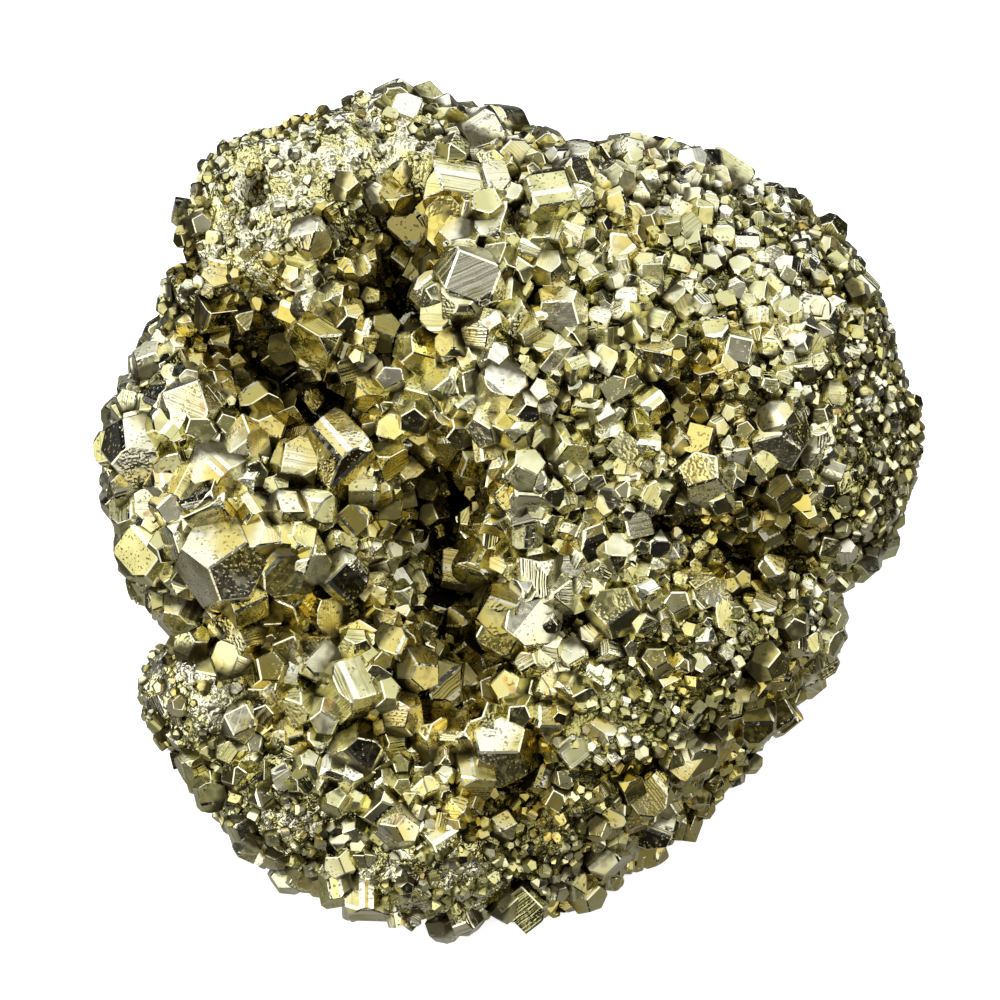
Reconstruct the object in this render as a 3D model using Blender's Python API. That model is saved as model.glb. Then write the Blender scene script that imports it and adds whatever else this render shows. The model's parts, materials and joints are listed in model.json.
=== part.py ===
"""Pyrite specimen: one mass of intergrown crystals that rests on its flat broken base.

The mass is a lump of rounded lobes and hollows. Flat-faced crystals stand out of it on every side,
and all of them are joined into one solid, which is cut off flat where it was broken from its bed.
Lengths here are millimetres until the finished mesh is scaled to metres.
"""

import math
import random

import bmesh
import bpy
import numpy as np
from mathutils import Matrix, Vector

METRE = 0.001
SPECIMEN = "pyrite_cluster"

# Drawing plane
# Lobes and crystals are set out on a sloping plane that faces a viewer who looks down on the front.
# Right and up lie in that plane, and toward is the distance out of it to the viewer. The plane's
# own right and back put the middle of the finished specimen over the origin.
VIEW_ELEVATION = math.radians(65.0)
VIEW_DISTANCE = 556.0
PLANE_HEIGHT = 24.0
PLANE_RIGHT = -0.83
PLANE_BACK = -0.14

RIGHT = np.array((1.0, 0.0, 0.0))
UP = np.array((0.0, math.sin(VIEW_ELEVATION), math.cos(VIEW_ELEVATION)))
TOWARD = np.array((0.0, -math.cos(VIEW_ELEVATION), math.sin(VIEW_ELEVATION)))
PLANE_ORIGIN = np.array((PLANE_RIGHT, PLANE_BACK, PLANE_HEIGHT))

# Lump
# The heart is the point that every ray of the lump's surface runs to.
HEART = (1.0, -1.0, -9.0)
LOBE_BLEND = 1.3
EDGE_BLEND = 0.7
FOOT_DEPTH = -5.0
FOOT_INSET = 0.80
RIM_INSET = 0.4
CRUST = 2.2

# Rim lobes: right and up of the outermost point, radius, toward
RIM_LOBES = (
    (-11.0, 41.5, 4.5, 0.0),
    (-1.0, 39.5, 5.0, -4.0),
    (7.5, 36.8, 6.0, -6.0),
    (16.5, 36.2, 5.0, -8.0),
    (23.5, 34.2, 5.0, -10.0),
    (30.0, 31.4, 5.0, -12.0),
    (34.5, 26.6, 5.0, -12.0),
    (37.6, 21.5, 5.0, -11.0),
    (39.6, 15.5, 5.0, -9.0),
    (42.8, 7.6, 5.0, -8.0),
    (40.2, 1.4, 6.0, -9.0),
    (36.4, -5.0, 6.0, -10.0),
    (35.0, -14.8, 5.0, -12.0),
    (29.2, -21.8, 6.0, -13.0),
    (24.2, -29.2, 6.0, -13.0),
    (20.0, -35.6, 6.0, -12.0),
    (14.0, -41.0, 6.0, -10.0),
    (6.0, -43.4, 6.0, -7.0),
    (-3.0, -42.8, 4.5, -4.0),
    (-12.0, -42.4, 4.5, -3.0),
    (-21.0, -38.9, 5.5, -3.0),
    (-28.0, -31.6, 6.0, -3.0),
    (-36.2, -21.2, 3.6, -2.0),
    (-38.4, -5.5, 5.0, -2.0),
    (-40.4, 3.0, 6.0, -2.0),
    (-39.4, 9.5, 4.5, -2.0),
    (-35.5, 17.0, 5.0, -3.0),
    (-33.2, 23.5, 4.5, -1.0),
    (-31.6, 30.0, 3.6, 0.0),
    (-27.8, 35.2, 4.0, 0.0),
    (-20.5, 36.8, 4.5, 0.0),
)

# Front lobes: right, up, toward, radius
FRONT_LOBES = (
    # foot and body
    (0.0, 4.0, -24.0, 18.0),
    (-14.0, 12.0, -16.0, 20.0),
    (14.0, 12.0, -15.0, 20.0),
    (0.0, -14.0, -14.0, 18.0),
    (-14.0, -16.0, -13.0, 17.0),
    # grape-like ridge at the upper left
    (-11.2, 37.0, 1.0, 4.0),
    (-16.5, 33.5, 3.0, 5.2),
    (-23.5, 30.5, 3.0, 6.0),
    (-27.5, 24.0, 2.0, 5.2),
    (-20.0, 26.5, 3.0, 6.6),
    (-28.0, 17.5, -3.0, 5.5),
    # left lobe
    (-30.0, 7.0, 0.0, 8.8),
    (-25.0, -3.0, 0.5, 10.5),
    (-31.5, -2.5, -1.0, 6.8),
    (-16.0, 3.5, 1.0, 8.5),
    # lower left lobe
    (-27.0, -20.0, -1.0, 7.8),
    (-19.5, -28.0, -2.0, 8.6),
    (-12.5, -34.0, -3.0, 7.4),
    (-14.5, -19.0, 0.0, 8.0),
    (-6.0, -33.0, -1.5, 8.0),
    # middle ridge
    (-17.0, 18.5, 3.5, 7.0),
    (-5.5, 31.0, 1.0, 8.0),
    (-3.5, 22.0, 6.0, 7.5),
    (4.0, 27.5, 2.5, 9.0),
    (3.5, 13.0, 4.5, 9.0),
    (2.5, 3.5, 3.5, 8.5),
    (-8.5, 12.0, 2.5, 6.5),
    # right dome
    (20.0, 9.0, -9.0, 19.5),
    (13.0, 16.0, -3.0, 13.0),
    (14.0, 2.0, -3.0, 13.0),
    (26.0, 16.0, -7.0, 12.0),
    (16.0, 26.0, -6.0, 9.8),
    (29.5, 2.0, -6.5, 11.0),
    # lower middle
    (3.5, -11.0, -1.0, 9.0),
    (13.0, -10.5, -3.0, 10.5),
    (0.5, -25.0, -2.5, 7.5),
    (11.0, -23.0, -4.5, 11.5),
    (22.0, -13.5, -5.5, 11.5),
    (5.5, -32.0, -4.5, 8.4),
)

# Hollows: right, up, toward, radius
HOLLOWS = (
    (-26.5, 16.5, 5.0, 4.6),
    (-11.5, 22.5, 9.0, 3.6),
    (-10.5, 27.5, 10.0, 4.0),
    (-21.0, 10.5, 8.0, 4.6),
    (-6.5, 2.5, 8.5, 4.6),
    (-8.5, -7.5, 9.0, 6.0),
    (-6.0, -14.0, 7.0, 4.6),
    (-4.0, -19.5, 7.0, 4.0),
    (1.5, -31.5, 8.0, 4.0),
    (29.5, -6.5, 8.5, 4.5),
    (-24.0, -13.5, 9.5, 4.0),
    (20.5, 11.0, 13.5, 3.5),
)

# Steep lower right side: a plane across the lump, by the bearing of its ridge line
SIDE_BEARING = math.radians(-46.6)
SIDE_REACH = 33.0
SIDE_TOWARD = 1.5
SIDE_TURN = math.radians(63.0)

# Crystals
# Form names the faces: block, pentagon (twelve five-sided faces) or hexagon (cube and octahedron).
CORNER_REACH = 1.42
PENTAGON_REACH = 0.92
PENTAGON_BLANK = 2.4
CUT_CORNERS = 0.25
REACH_SPREAD = (0.92, 1.08)
STRETCH_SPREAD = (0.86, 1.12)
OCTAHEDRON_REACH = 1.12
BLOCK, PENTAGON, HEXAGON = "block", "pentagon", "hexagon"
# A block is wider across its corners than the width that the viewer sees.
BLOCK_SHARE = 0.84

# Front crystals: right, up, width, form, lean up, swing right, spin, stand (share of its height clear)
FRONT_CRYSTALS = (
    # grape-like ridge
    (-9.3, 39.7, 4.2, BLOCK, 28, -10, 20, 0.5),
    (-7.2, 36.0, 3.4, BLOCK, 40, 15, 30, 0.5),
    (-12.8, 31.6, 3.6, PENTAGON, 20, 0, 10, 0.5),
    (-16.6, 30.4, 4.4, BLOCK, 36, -6, 10, 0.5),
    (-13.4, 27.2, 4.4, BLOCK, 30, -10, 24, 0.5),
    (-15.4, 23.6, 4.0, PENTAGON, 12, 10, 0, 0.5),
    (-12.2, 20.2, 4.0, BLOCK, -20, 12, 30, 0.5),
    (-27.9, 26.7, 3.6, HEXAGON, 8, -8, 0, 0.5),
    (-28.1, 22.6, 5.0, PENTAGON, 12, -12, 25, 0.5),
    (-26.9, 17.7, 4.2, BLOCK, -24, -20, 40, 0.5),
    # middle ridge
    (-18.7, 16.0, 6.4, BLOCK, 40, 12, 8, 0.6),
    (-10.6, 23.5, 5.2, PENTAGON, 36, -12, 18, 0.5),
    (-19.4, 24.6, 4.8, HEXAGON, -16, -18, 12, 0.5),
    (-20.6, 22.0, 3.8, BLOCK, 18, -10, 35, 0.5),
    (-21.6, 19.1, 3.6, BLOCK, -10, -30, 20, 0.5),
    (-18.3, 19.7, 3.8, PENTAGON, -30, 10, 0, 0.5),
    (-5.0, 31.8, 6.4, BLOCK, 44, 10, 24, 0.6),
    (-1.1, 32.0, 4.6, BLOCK, 22, 28, 10, 0.5),
    (-8.9, 27.9, 6.8, HEXAGON, -6, -18, 32, 0.5),
    (-3.6, 26.5, 5.2, BLOCK, -34, -12, 16, 0.5),
    (-0.5, 27.9, 5.0, BLOCK, 34, -22, 6, 0.6),
    (-3.0, 22.2, 6.6, HEXAGON, 4, 4, 14, 0.6),
    (4.0, 24.4, 5.4, BLOCK, 42, 16, 30, 0.6),
    (5.4, 30.5, 7.0, BLOCK, 44, 0, 12, 0.5),
    (9.3, 30.7, 4.2, HEXAGON, 6, 12, 22, 0.5),
    (5.4, 26.0, 6.0, BLOCK, 46, -16, 40, 0.5),
    (12.7, 25.6, 5.6, HEXAGON, 2, 14, 10, 0.5),
    (12.3, 20.1, 4.6, BLOCK, 40, 6, 18, 0.5),
    (6.4, 19.7, 6.4, PENTAGON, 14, -6, 28, 0.6),
    (1.7, 18.5, 4.8, BLOCK, 20, -30, 8, 0.5),
    (-1.9, 15.6, 4.6, BLOCK, 36, 6, 36, 0.5),
    (-6.6, 18.7, 5.4, BLOCK, -22, -24, 12, 0.5),
    (-10.1, 18.9, 3.6, BLOCK, 10, 10, 20, 0.5),
    (6.2, 14.8, 5.0, BLOCK, -20, 22, 28, 0.5),
    (15.4, 14.6, 5.4, BLOCK, 50, 8, 10, 0.6),
    (-7.0, 10.3, 6.8, PENTAGON, 16, 10, 6, 0.5),
    (-10.1, 9.1, 4.8, BLOCK, 38, -20, 14, 0.5),
    (-10.1, 5.4, 4.2, PENTAGON, 26, 18, 20, 0.5),
    (1.3, 7.2, 6.0, BLOCK, 38, -8, 22, 0.6),
    (1.3, 2.9, 4.8, PENTAGON, 18, 0, 0, 0.5),
    (-3.0, 9.9, 4.0, BLOCK, -32, 12, 30, 0.5),
    (7.2, 4.6, 6.2, PENTAGON, 30, 10, 16, 0.5),
    # right dome
    (11.7, 33.8, 4.8, PENTAGON, 34, 8, 12, 0.5),
    (19.6, 35.0, 5.0, HEXAGON, 24, 20, 28, 0.5),
    (9.5, 8.7, 4.6, BLOCK, 44, 8, 20, 0.5),
    (11.3, 6.8, 5.0, BLOCK, 34, -14, 34, 0.5),
    (13.0, 2.1, 4.0, HEXAGON, 40, 0, 10, 0.5),
    (11.1, 0.3, 4.8, PENTAGON, 12, -8, 22, 0.5),
    (19.6, 26.6, 4.6, BLOCK, 26, -10, 12, 0.5),
    (29.1, 24.0, 4.2, PENTAGON, 18, 16, 30, 0.5),
    (31.5, 24.8, 4.6, BLOCK, 42, 20, 16, 0.5),
    (32.2, 20.0, 5.0, HEXAGON, 4, 18, 8, 0.5),
    (24.1, 15.5, 4.8, HEXAGON, 4, 6, 18, 0.5),
    (27.6, 16.6, 4.8, BLOCK, -28, 6, 26, 0.5),
    (21.5, 17.0, 4.4, BLOCK, 34, 10, 22, 0.5),
    (14.8, 9.5, 4.4, BLOCK, 42, 24, 10, 0.5),
    (28.5, 6.4, 6.4, PENTAGON, -8, 12, 14, 0.5),
    (33.0, 6.0, 4.6, HEXAGON, 10, 24, 0, 0.5),
    (20.5, 2.3, 6.0, PENTAGON, 2, 0, 18, 0.5),
    (23.7, 4.5, 4.8, BLOCK, 44, 4, 30, 0.5),
    (28.9, 0.1, 5.6, PENTAGON, -14, 14, 22, 0.5),
    (27.2, -4.4, 6.0, BLOCK, 34, 20, 12, 0.5),
    (22.6, -11.4, 5.2, BLOCK, 10, 30, 14, 0.5),
    (20.2, -16.8, 4.4, BLOCK, 30, 18, 26, 0.5),
    (16.8, -17.9, 4.4, PENTAGON, 16, 6, 16, 0.5),
    # middle
    (-6.8, 0.9, 5.8, BLOCK, -34, 0, 20, 0.4),
    (-1.3, -3.4, 5.4, BLOCK, 32, -12, 12, 0.5),
    (2.1, -2.8, 4.8, PENTAGON, -34, 6, 8, 0.5),
    (3.4, -6.0, 5.2, BLOCK, 16, 26, 10, 0.5),
    (8.1, -4.0, 4.8, BLOCK, -10, 26, 30, 0.5),
    (7.2, -6.6, 4.6, PENTAGON, 38, 4, 20, 0.5),
    (5.4, -9.3, 4.8, HEXAGON, 42, 4, 14, 0.5),
    (2.3, -8.9, 5.2, BLOCK, 26, -24, 24, 0.5),
    (13.6, -3.2, 4.4, BLOCK, -4, 4, 6, 0.5),
    (-4.6, -5.6, 6.0, BLOCK, -18, -22, 18, 0.5),
    (2.3, -12.0, 6.6, BLOCK, -8, 28, 10, 0.5),
    (-0.7, -11.5, 6.2, PENTAGON, 18, -6, 20, 0.6),
    (11.5, -11.1, 6.6, PENTAGON, -12, 6, 26, 0.5),
    (-11.7, -7.7, 5.6, BLOCK, 40, 4, 4, 0.5),
    (-13.2, -12.8, 6.2, PENTAGON, -20, -10, 12, 0.5),
    # left lobe
    (-31.0, 9.3, 6.2, HEXAGON, 10, -10, 6, 0.6),
    (-33.2, 6.4, 5.8, BLOCK, 36, -20, 14, 0.6),
    (-37.3, 5.5, 6.6, PENTAGON, 20, -34, 20, 0.5),
    (-28.9, -0.3, 6.8, BLOCK, -40, 0, 30, 0.6),
    (-21.0, 4.0, 5.6, BLOCK, 38, 10, 22, 0.6),
    (-15.5, 4.6, 9.0, BLOCK, 26, -22, 40, 0.5),
    (-38.1, -1.7, 5.4, BLOCK, 28, -34, 8, 0.5),
    (-35.9, -5.8, 8.0, BLOCK, -4, -34, 4, 0.5),
    (-27.7, -6.6, 11.0, BLOCK, 34, -14, 12, 0.55),
    (-22.8, -3.8, 5.4, BLOCK, 42, 10, 24, 0.5),
    (-26.5, -13.2, 7.6, BLOCK, 40, 6, 2, 0.5),
    (-19.6, -10.9, 6.2, PENTAGON, 30, 14, 16, 0.5),
    (-27.9, 6.0, 3.8, BLOCK, 34, 6, 18, 0.5),
    (-32.4, -2.4, 5.0, PENTAGON, 24, -10, 28, 0.5),
    # lower left lobe
    (-28.2, -16.3, 5.6, BLOCK, 34, -12, 18, 0.5),
    (-25.1, -17.1, 5.2, BLOCK, -10, 24, 12, 0.5),
    (-14.9, -19.0, 7.6, BLOCK, 30, 26, 16, 0.6),
    (-21.3, -17.8, 5.0, PENTAGON, 34, 4, 10, 0.5),
    (-23.9, -21.4, 4.6, BLOCK, 44, -6, 26, 0.5),
    (-18.2, -24.1, 4.2, BLOCK, 20, 20, 14, 0.5),
    (-25.8, -27.3, 4.4, BLOCK, 34, -16, 30, 0.5),
    (-22.1, -27.8, 4.0, PENTAGON, 6, -4, 12, 0.5),
    (-34.9, -21.4, 5.2, PENTAGON, 14, -24, 0, 0.4),
    (-9.6, -31.8, 5.4, BLOCK, 30, 8, 20, 0.5),
    (-11.7, -29.0, 4.8, HEXAGON, 6, 8, 10, 0.5),
    (-13.3, -25.9, 4.6, BLOCK, 2, 28, 16, 0.5),
    (-9.4, -23.1, 4.4, BLOCK, 6, -26, 22, 0.5),
    # foot
    (-5.7, -18.6, 6.2, HEXAGON, 4, 14, 10, 0.6),
    (2.1, -19.8, 5.6, PENTAGON, -20, 6, 24, 0.5),
    (4.5, -22.0, 4.4, HEXAGON, 18, 16, 16, 0.5),
    (0.2, -25.1, 7.8, PENTAGON, -6, -4, 8, 0.6),
    (-3.2, -21.8, 5.6, BLOCK, -26, 16, 18, 0.5),
    (9.6, -17.8, 5.4, BLOCK, 38, 14, 14, 0.5),
    (10.2, -23.3, 5.2, BLOCK, 40, 20, 20, 0.5),
    (4.1, -29.0, 4.6, BLOCK, 8, 26, 12, 0.5),
    (-4.7, -31.6, 5.4, BLOCK, 36, -8, 28, 0.5),
    (-5.9, -34.1, 4.6, PENTAGON, 22, 8, 14, 0.5),
)

# Crystals on the sides and back, and between the front crystals
FILL_SEED = 47
FILL_TRIES = 5200
FILL_SPACING = 0.60
FILL_FRONT_WIDTHS = (3.6, 5.4)
FILL_SIDE_WIDTHS = (4.8, 6.6)
FILL_FRONT_FACING = 0.12
FILL_STAND = 0.40
FILL_FORMS = (BLOCK, BLOCK, BLOCK, BLOCK, PENTAGON, PENTAGON, HEXAGON)
FILL_LEAN = math.radians(38.0)
FILL_CLEAR_OF_BASE = 2.4
MARCH_START = 70.0
MARCH_STEPS = 90
MARCH_CAUTION = 0.75
SLOPE_PROBE = 0.2

LUMP_DETAIL = 3
CUTTER_SIZE = 200.0

GOLD_GREY = (0.62, 0.56, 0.34, 1.0)
METAL_ROUGHNESS = 0.25


def drawing_point(right, up, toward):
    """World place of a point that the viewer sees at right and up, toward in front of the plane."""
    spread = (VIEW_DISTANCE - toward) / VIEW_DISTANCE
    return PLANE_ORIGIN + (RIGHT * right + UP * up) * spread + TOWARD * toward


def lobe_segments():
    """Start, end and radius of each lobe: a rim lobe runs down into the foot, a front lobe is a ball."""
    heart = drawing_point(*HEART)
    starts, ends, radii = [], [], []
    for right, up, radius, toward in RIM_LOBES:
        edge = Vector((right - HEART[0], up - HEART[1]))
        inner = edge * (1.0 - (radius + RIM_INSET) / edge.length)
        start = drawing_point(HEART[0] + inner.x, HEART[1] + inner.y, toward)
        foot = heart + (start - heart) * FOOT_INSET
        foot[2] = FOOT_DEPTH
        starts.append(start)
        ends.append(foot)
        radii.append(radius)
    for right, up, toward, radius in FRONT_LOBES:
        place = drawing_point(right, up, toward)
        starts.append(place)
        ends.append(place)
        radii.append(radius)
    return np.array(starts), np.array(ends), np.array(radii)


LOBE_STARTS, LOBE_ENDS, LOBE_RADII = lobe_segments()
HOLLOW_CENTRES = np.array([drawing_point(*row[:3]) for row in HOLLOWS])
HOLLOW_RADII = np.array([row[3] for row in HOLLOWS])
SIDE_NORMAL = (
    (RIGHT * math.cos(SIDE_BEARING) + UP * math.sin(SIDE_BEARING)) * math.sin(SIDE_TURN)
    + TOWARD * math.cos(SIDE_TURN)
)
SIDE_POINT = drawing_point(
    SIDE_REACH * math.cos(SIDE_BEARING), SIDE_REACH * math.sin(SIDE_BEARING), SIDE_TOWARD
)


def lump_distance(points):
    """Distance of each point from the lump's surface, below zero inside it."""
    runs = LOBE_ENDS - LOBE_STARTS
    lengths = np.maximum((runs * runs).sum(axis=1), 1e-9)
    offsets = points[:, None, :] - LOBE_STARTS[None, :, :]
    along = np.clip((offsets * runs[None, :, :]).sum(axis=2) / lengths[None, :], 0.0, 1.0)
    nearest = offsets - along[:, :, None] * runs[None, :, :]
    gaps = np.sqrt((nearest * nearest).sum(axis=2)) - LOBE_RADII[None, :]
    lowest = gaps.min(axis=1)
    lump = lowest - LOBE_BLEND * np.log(np.exp((lowest[:, None] - gaps) / LOBE_BLEND).sum(axis=1))
    holes = HOLLOW_RADII[None, :] - np.linalg.norm(points[:, None, :] - HOLLOW_CENTRES[None, :, :], axis=2)
    side = (points - SIDE_POINT) @ SIDE_NORMAL
    parts = np.column_stack((lump, holes, side))
    highest = parts.max(axis=1)
    return highest + EDGE_BLEND * np.log(np.exp((parts - highest[:, None]) / EDGE_BLEND).sum(axis=1))


def march(starts, directions):
    """Where rays from outside first meet the lump."""
    travelled = np.zeros(len(starts))
    for _ in range(MARCH_STEPS):
        travelled += MARCH_CAUTION * lump_distance(starts + directions * travelled[:, None])
    return starts + directions * travelled[:, None]


def surface_toward_heart(outward):
    """Points of the lump's surface in the given directions from its heart."""
    heart = drawing_point(*HEART)
    return march(heart + outward * MARCH_START, -outward)


def surface_seen(right, up):
    """Point of the lump that the viewer sees at right and up on the drawing plane."""
    near = drawing_point(right, up, MARCH_START)
    direction = drawing_point(right, up, 0.0) - near
    direction /= np.linalg.norm(direction)
    return march(near[None, :], direction[None, :])[0]


def surface_normal(point):
    """Outward direction of the lump's surface at a point."""
    steps = np.eye(3) * SLOPE_PROBE
    slope = lump_distance(point + steps) - lump_distance(point - steps)
    return slope / np.linalg.norm(slope)


def form_planes(form, dice):
    """Face directions and distances that cut a cube into a crystal of the given form."""
    planes = []
    signs = (-1, 1)
    if form == PENTAGON:
        for first in signs:
            for second in signs:
                for turn in ((1, 2 * second, 0), (0, 1, 2 * second), (2 * second, 0, 1)):
                    normal = Vector(turn)
                    normal = normal if first > 0 else -normal
                    planes.append((normal, PENTAGON_REACH * dice.uniform(*REACH_SPREAD)))
        return planes
    for x in signs:
        for y in signs:
            for z in signs:
                if form == HEXAGON:
                    planes.append((Vector((x, y, z)), OCTAHEDRON_REACH * dice.uniform(*REACH_SPREAD)))
                elif dice.random() < CUT_CORNERS:
                    planes.append((Vector((x, y, z)), CORNER_REACH * dice.uniform(*REACH_SPREAD)))
    return planes


def add_crystal(target, form, width, place, turn, dice):
    """Cut one crystal from a cube and add it to the target mesh."""
    crystal = bmesh.new()
    bmesh.ops.create_cube(crystal, size=PENTAGON_BLANK if form == PENTAGON else 2.0)
    stretch = Vector([dice.uniform(*STRETCH_SPREAD) for _ in range(3)])
    bmesh.ops.scale(crystal, vec=stretch, verts=crystal.verts)
    for normal, reach in form_planes(form, dice):
        normal.normalize()
        cut = bmesh.ops.bisect_plane(
            crystal,
            geom=crystal.verts[:] + crystal.edges[:] + crystal.faces[:],
            plane_co=normal * reach,
            plane_no=normal,
            clear_outer=True,
        )
        rim = [item for item in cut["geom_cut"] if isinstance(item, bmesh.types.BMEdge)]
        if rim:
            bmesh.ops.edgeloop_fill(crystal, edges=rim)
    bmesh.ops.recalc_face_normals(crystal, faces=crystal.faces)
    fit = Matrix.Translation(place) @ turn.to_4x4() @ Matrix.Scale(width / 2.0, 4)
    bmesh.ops.transform(crystal, matrix=fit, verts=crystal.verts)
    copies = {vert: target.verts.new(vert.co) for vert in crystal.verts}
    for face in crystal.faces:
        target.faces.new([copies[vert] for vert in face.verts])
    crystal.free()


def turn_to(normal, spin):
    """Rotation that brings a crystal's own +Z to the normal, after a spin about it."""
    return Vector(normal).to_track_quat("Z", "Y").to_matrix() @ Matrix.Rotation(spin, 3, "Z")


def front_facing(lean, swing):
    """Direction of a face that leans up and swings right from facing the viewer."""
    lean, swing = math.radians(lean), math.radians(swing)
    level = TOWARD * math.cos(lean) + UP * math.sin(lean)
    return level * math.cos(swing) + RIGHT * math.sin(swing)


def crystal_bodies():
    """All the crystals in one mesh, each a closed body of its own."""
    dice = random.Random(FILL_SEED)
    bodies = bmesh.new()
    places = []
    for right, up, width, form, lean, swing, spin, stand in FRONT_CRYSTALS:
        surface = surface_seen(right, up)
        outward = surface_normal(surface)
        width *= BLOCK_SHARE if form == BLOCK else 1.0
        place = surface + outward * (width * (stand - 0.5) - CRUST)
        turn = turn_to(front_facing(lean, swing), math.radians(spin))
        add_crystal(bodies, form, width, Vector(place), turn, dice)
        places.append((Vector(surface), width))
    outward = np.array([random_direction(dice) for _ in range(FILL_TRIES)])
    for surface in surface_toward_heart(outward):
        spot = Vector(surface)
        normal = Vector(surface_normal(surface))
        in_front = normal.dot(Vector(TOWARD)) > FILL_FRONT_FACING
        width = dice.uniform(*(FILL_FRONT_WIDTHS if in_front else FILL_SIDE_WIDTHS))
        form = dice.choice(FILL_FORMS)
        tilt = Vector(random_direction(dice)) * math.sin(FILL_LEAN)
        spin = dice.uniform(0.0, math.pi)
        if spot.z < FILL_CLEAR_OF_BASE:
            continue
        if any((spot - other).length < FILL_SPACING * (size + width) for other, size in places):
            continue
        place = spot + normal * (width * (FILL_STAND - 0.5) - CRUST)
        add_crystal(bodies, form, width, place, turn_to((normal + tilt).normalized(), spin), dice)
        places.append((spot, width))
    return bodies


def random_direction(dice):
    """One direction, all directions being equally likely."""
    height = dice.uniform(-1.0, 1.0)
    bearing = dice.uniform(0.0, 2.0 * math.pi)
    across = math.sqrt(1.0 - height * height)
    return (across * math.cos(bearing), across * math.sin(bearing), height)


def lump_body():
    """The lump as a closed mesh: a ball whose points are moved to the lump's surface."""
    ball = bmesh.new()
    bmesh.ops.create_icosphere(ball, subdivisions=LUMP_DETAIL, radius=1.0)
    outward = np.array([vert.co.normalized() for vert in ball.verts])
    heart = drawing_point(*HEART)
    for vert, point, way in zip(ball.verts, surface_toward_heart(outward), outward):
        reach = np.linalg.norm(point - heart) - CRUST
        vert.co = Vector(heart + way * reach)
    return ball


def new_object(name, shape, collection):
    """Object from a bmesh in millimetres, scaled to metres."""
    bmesh.ops.scale(shape, vec=(METRE, METRE, METRE), verts=shape.verts)
    mesh = bpy.data.meshes.new(name)
    shape.to_mesh(mesh)
    shape.free()
    made = bpy.data.objects.new(name, mesh)
    collection.objects.link(made)
    return made


def new_collection(name):
    """Collection linked to the scene."""
    made = bpy.data.collections.new(name)
    bpy.context.scene.collection.children.link(made)
    return made


def as_cutter(made):
    """Mark an object as a tool that only shapes another."""
    made.hide_render = True
    made.display_type = "WIRE"
    return made


def boolean(target, tool, operation):
    """Exact Boolean of a tool on the target."""
    step = target.modifiers.new(operation.lower(), "BOOLEAN")
    step.operation = operation
    step.solver = "EXACT"
    step.object = tool
    step.use_self = operation == "UNION"


def keep_outer_body(shape):
    """Remove the sealed pockets that are left between crystals."""
    islands, seen = [], set()
    for seed in shape.faces:
        if seed in seen:
            continue
        island, queue = [], [seed]
        seen.add(seed)
        while queue:
            face = queue.pop()
            island.append(face)
            for edge in face.edges:
                for other in edge.link_faces:
                    if other not in seen:
                        seen.add(other)
                        queue.append(other)
        islands.append(island)
    outer = max(islands, key=len)
    pockets = [face for island in islands if island is not outer for face in island]
    bmesh.ops.delete(shape, geom=pockets, context="FACES")


def pyrite_material():
    """Pale brassy metal."""
    material = bpy.data.materials.new("pyrite")
    material.use_nodes = True
    shader = material.node_tree.nodes["Principled BSDF"]
    shader.inputs["Base Color"].default_value = GOLD_GREY
    shader.inputs["Metallic"].default_value = 1.0
    shader.inputs["Roughness"].default_value = METAL_ROUGHNESS
    return material


def build():
    """Make the specimen."""
    for old in list(bpy.data.objects):
        bpy.data.objects.remove(old)
    parts = new_collection("pyrite specimen")
    tools = new_collection("shaping tools")
    lump = new_object("lump", lump_body(), tools)
    crystals = as_cutter(new_object("crystal_bodies", crystal_bodies(), tools))
    block = bmesh.new()
    bmesh.ops.create_cube(block, size=CUTTER_SIZE)
    bmesh.ops.translate(block, vec=(0.0, 0.0, -CUTTER_SIZE / 2.0), verts=block.verts)
    below = as_cutter(new_object("below_base", block, tools))
    boolean(lump, crystals, "UNION")
    boolean(lump, below, "DIFFERENCE")

    seen = lump.evaluated_get(bpy.context.evaluated_depsgraph_get())
    joined = bmesh.new()
    joined.from_mesh(seen.to_mesh())
    seen.to_mesh_clear()
    keep_outer_body(joined)
    mesh = bpy.data.meshes.new(SPECIMEN)
    joined.to_mesh(mesh)
    joined.free()
    specimen = bpy.data.objects.new(SPECIMEN, mesh)
    specimen.data.materials.append(pyrite_material())
    parts.objects.link(specimen)
    bpy.data.objects.remove(lump)


build()
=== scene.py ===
"""Look of the pyrite specimen: its crystals, their metal and a plain stage.

Lengths are millimetres while shapes are worked out, and metres in the finished meshes.
"""

import json
import math
import random

import bmesh
import bpy
import numpy as np
from mathutils import Matrix, Vector, noise

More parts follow.
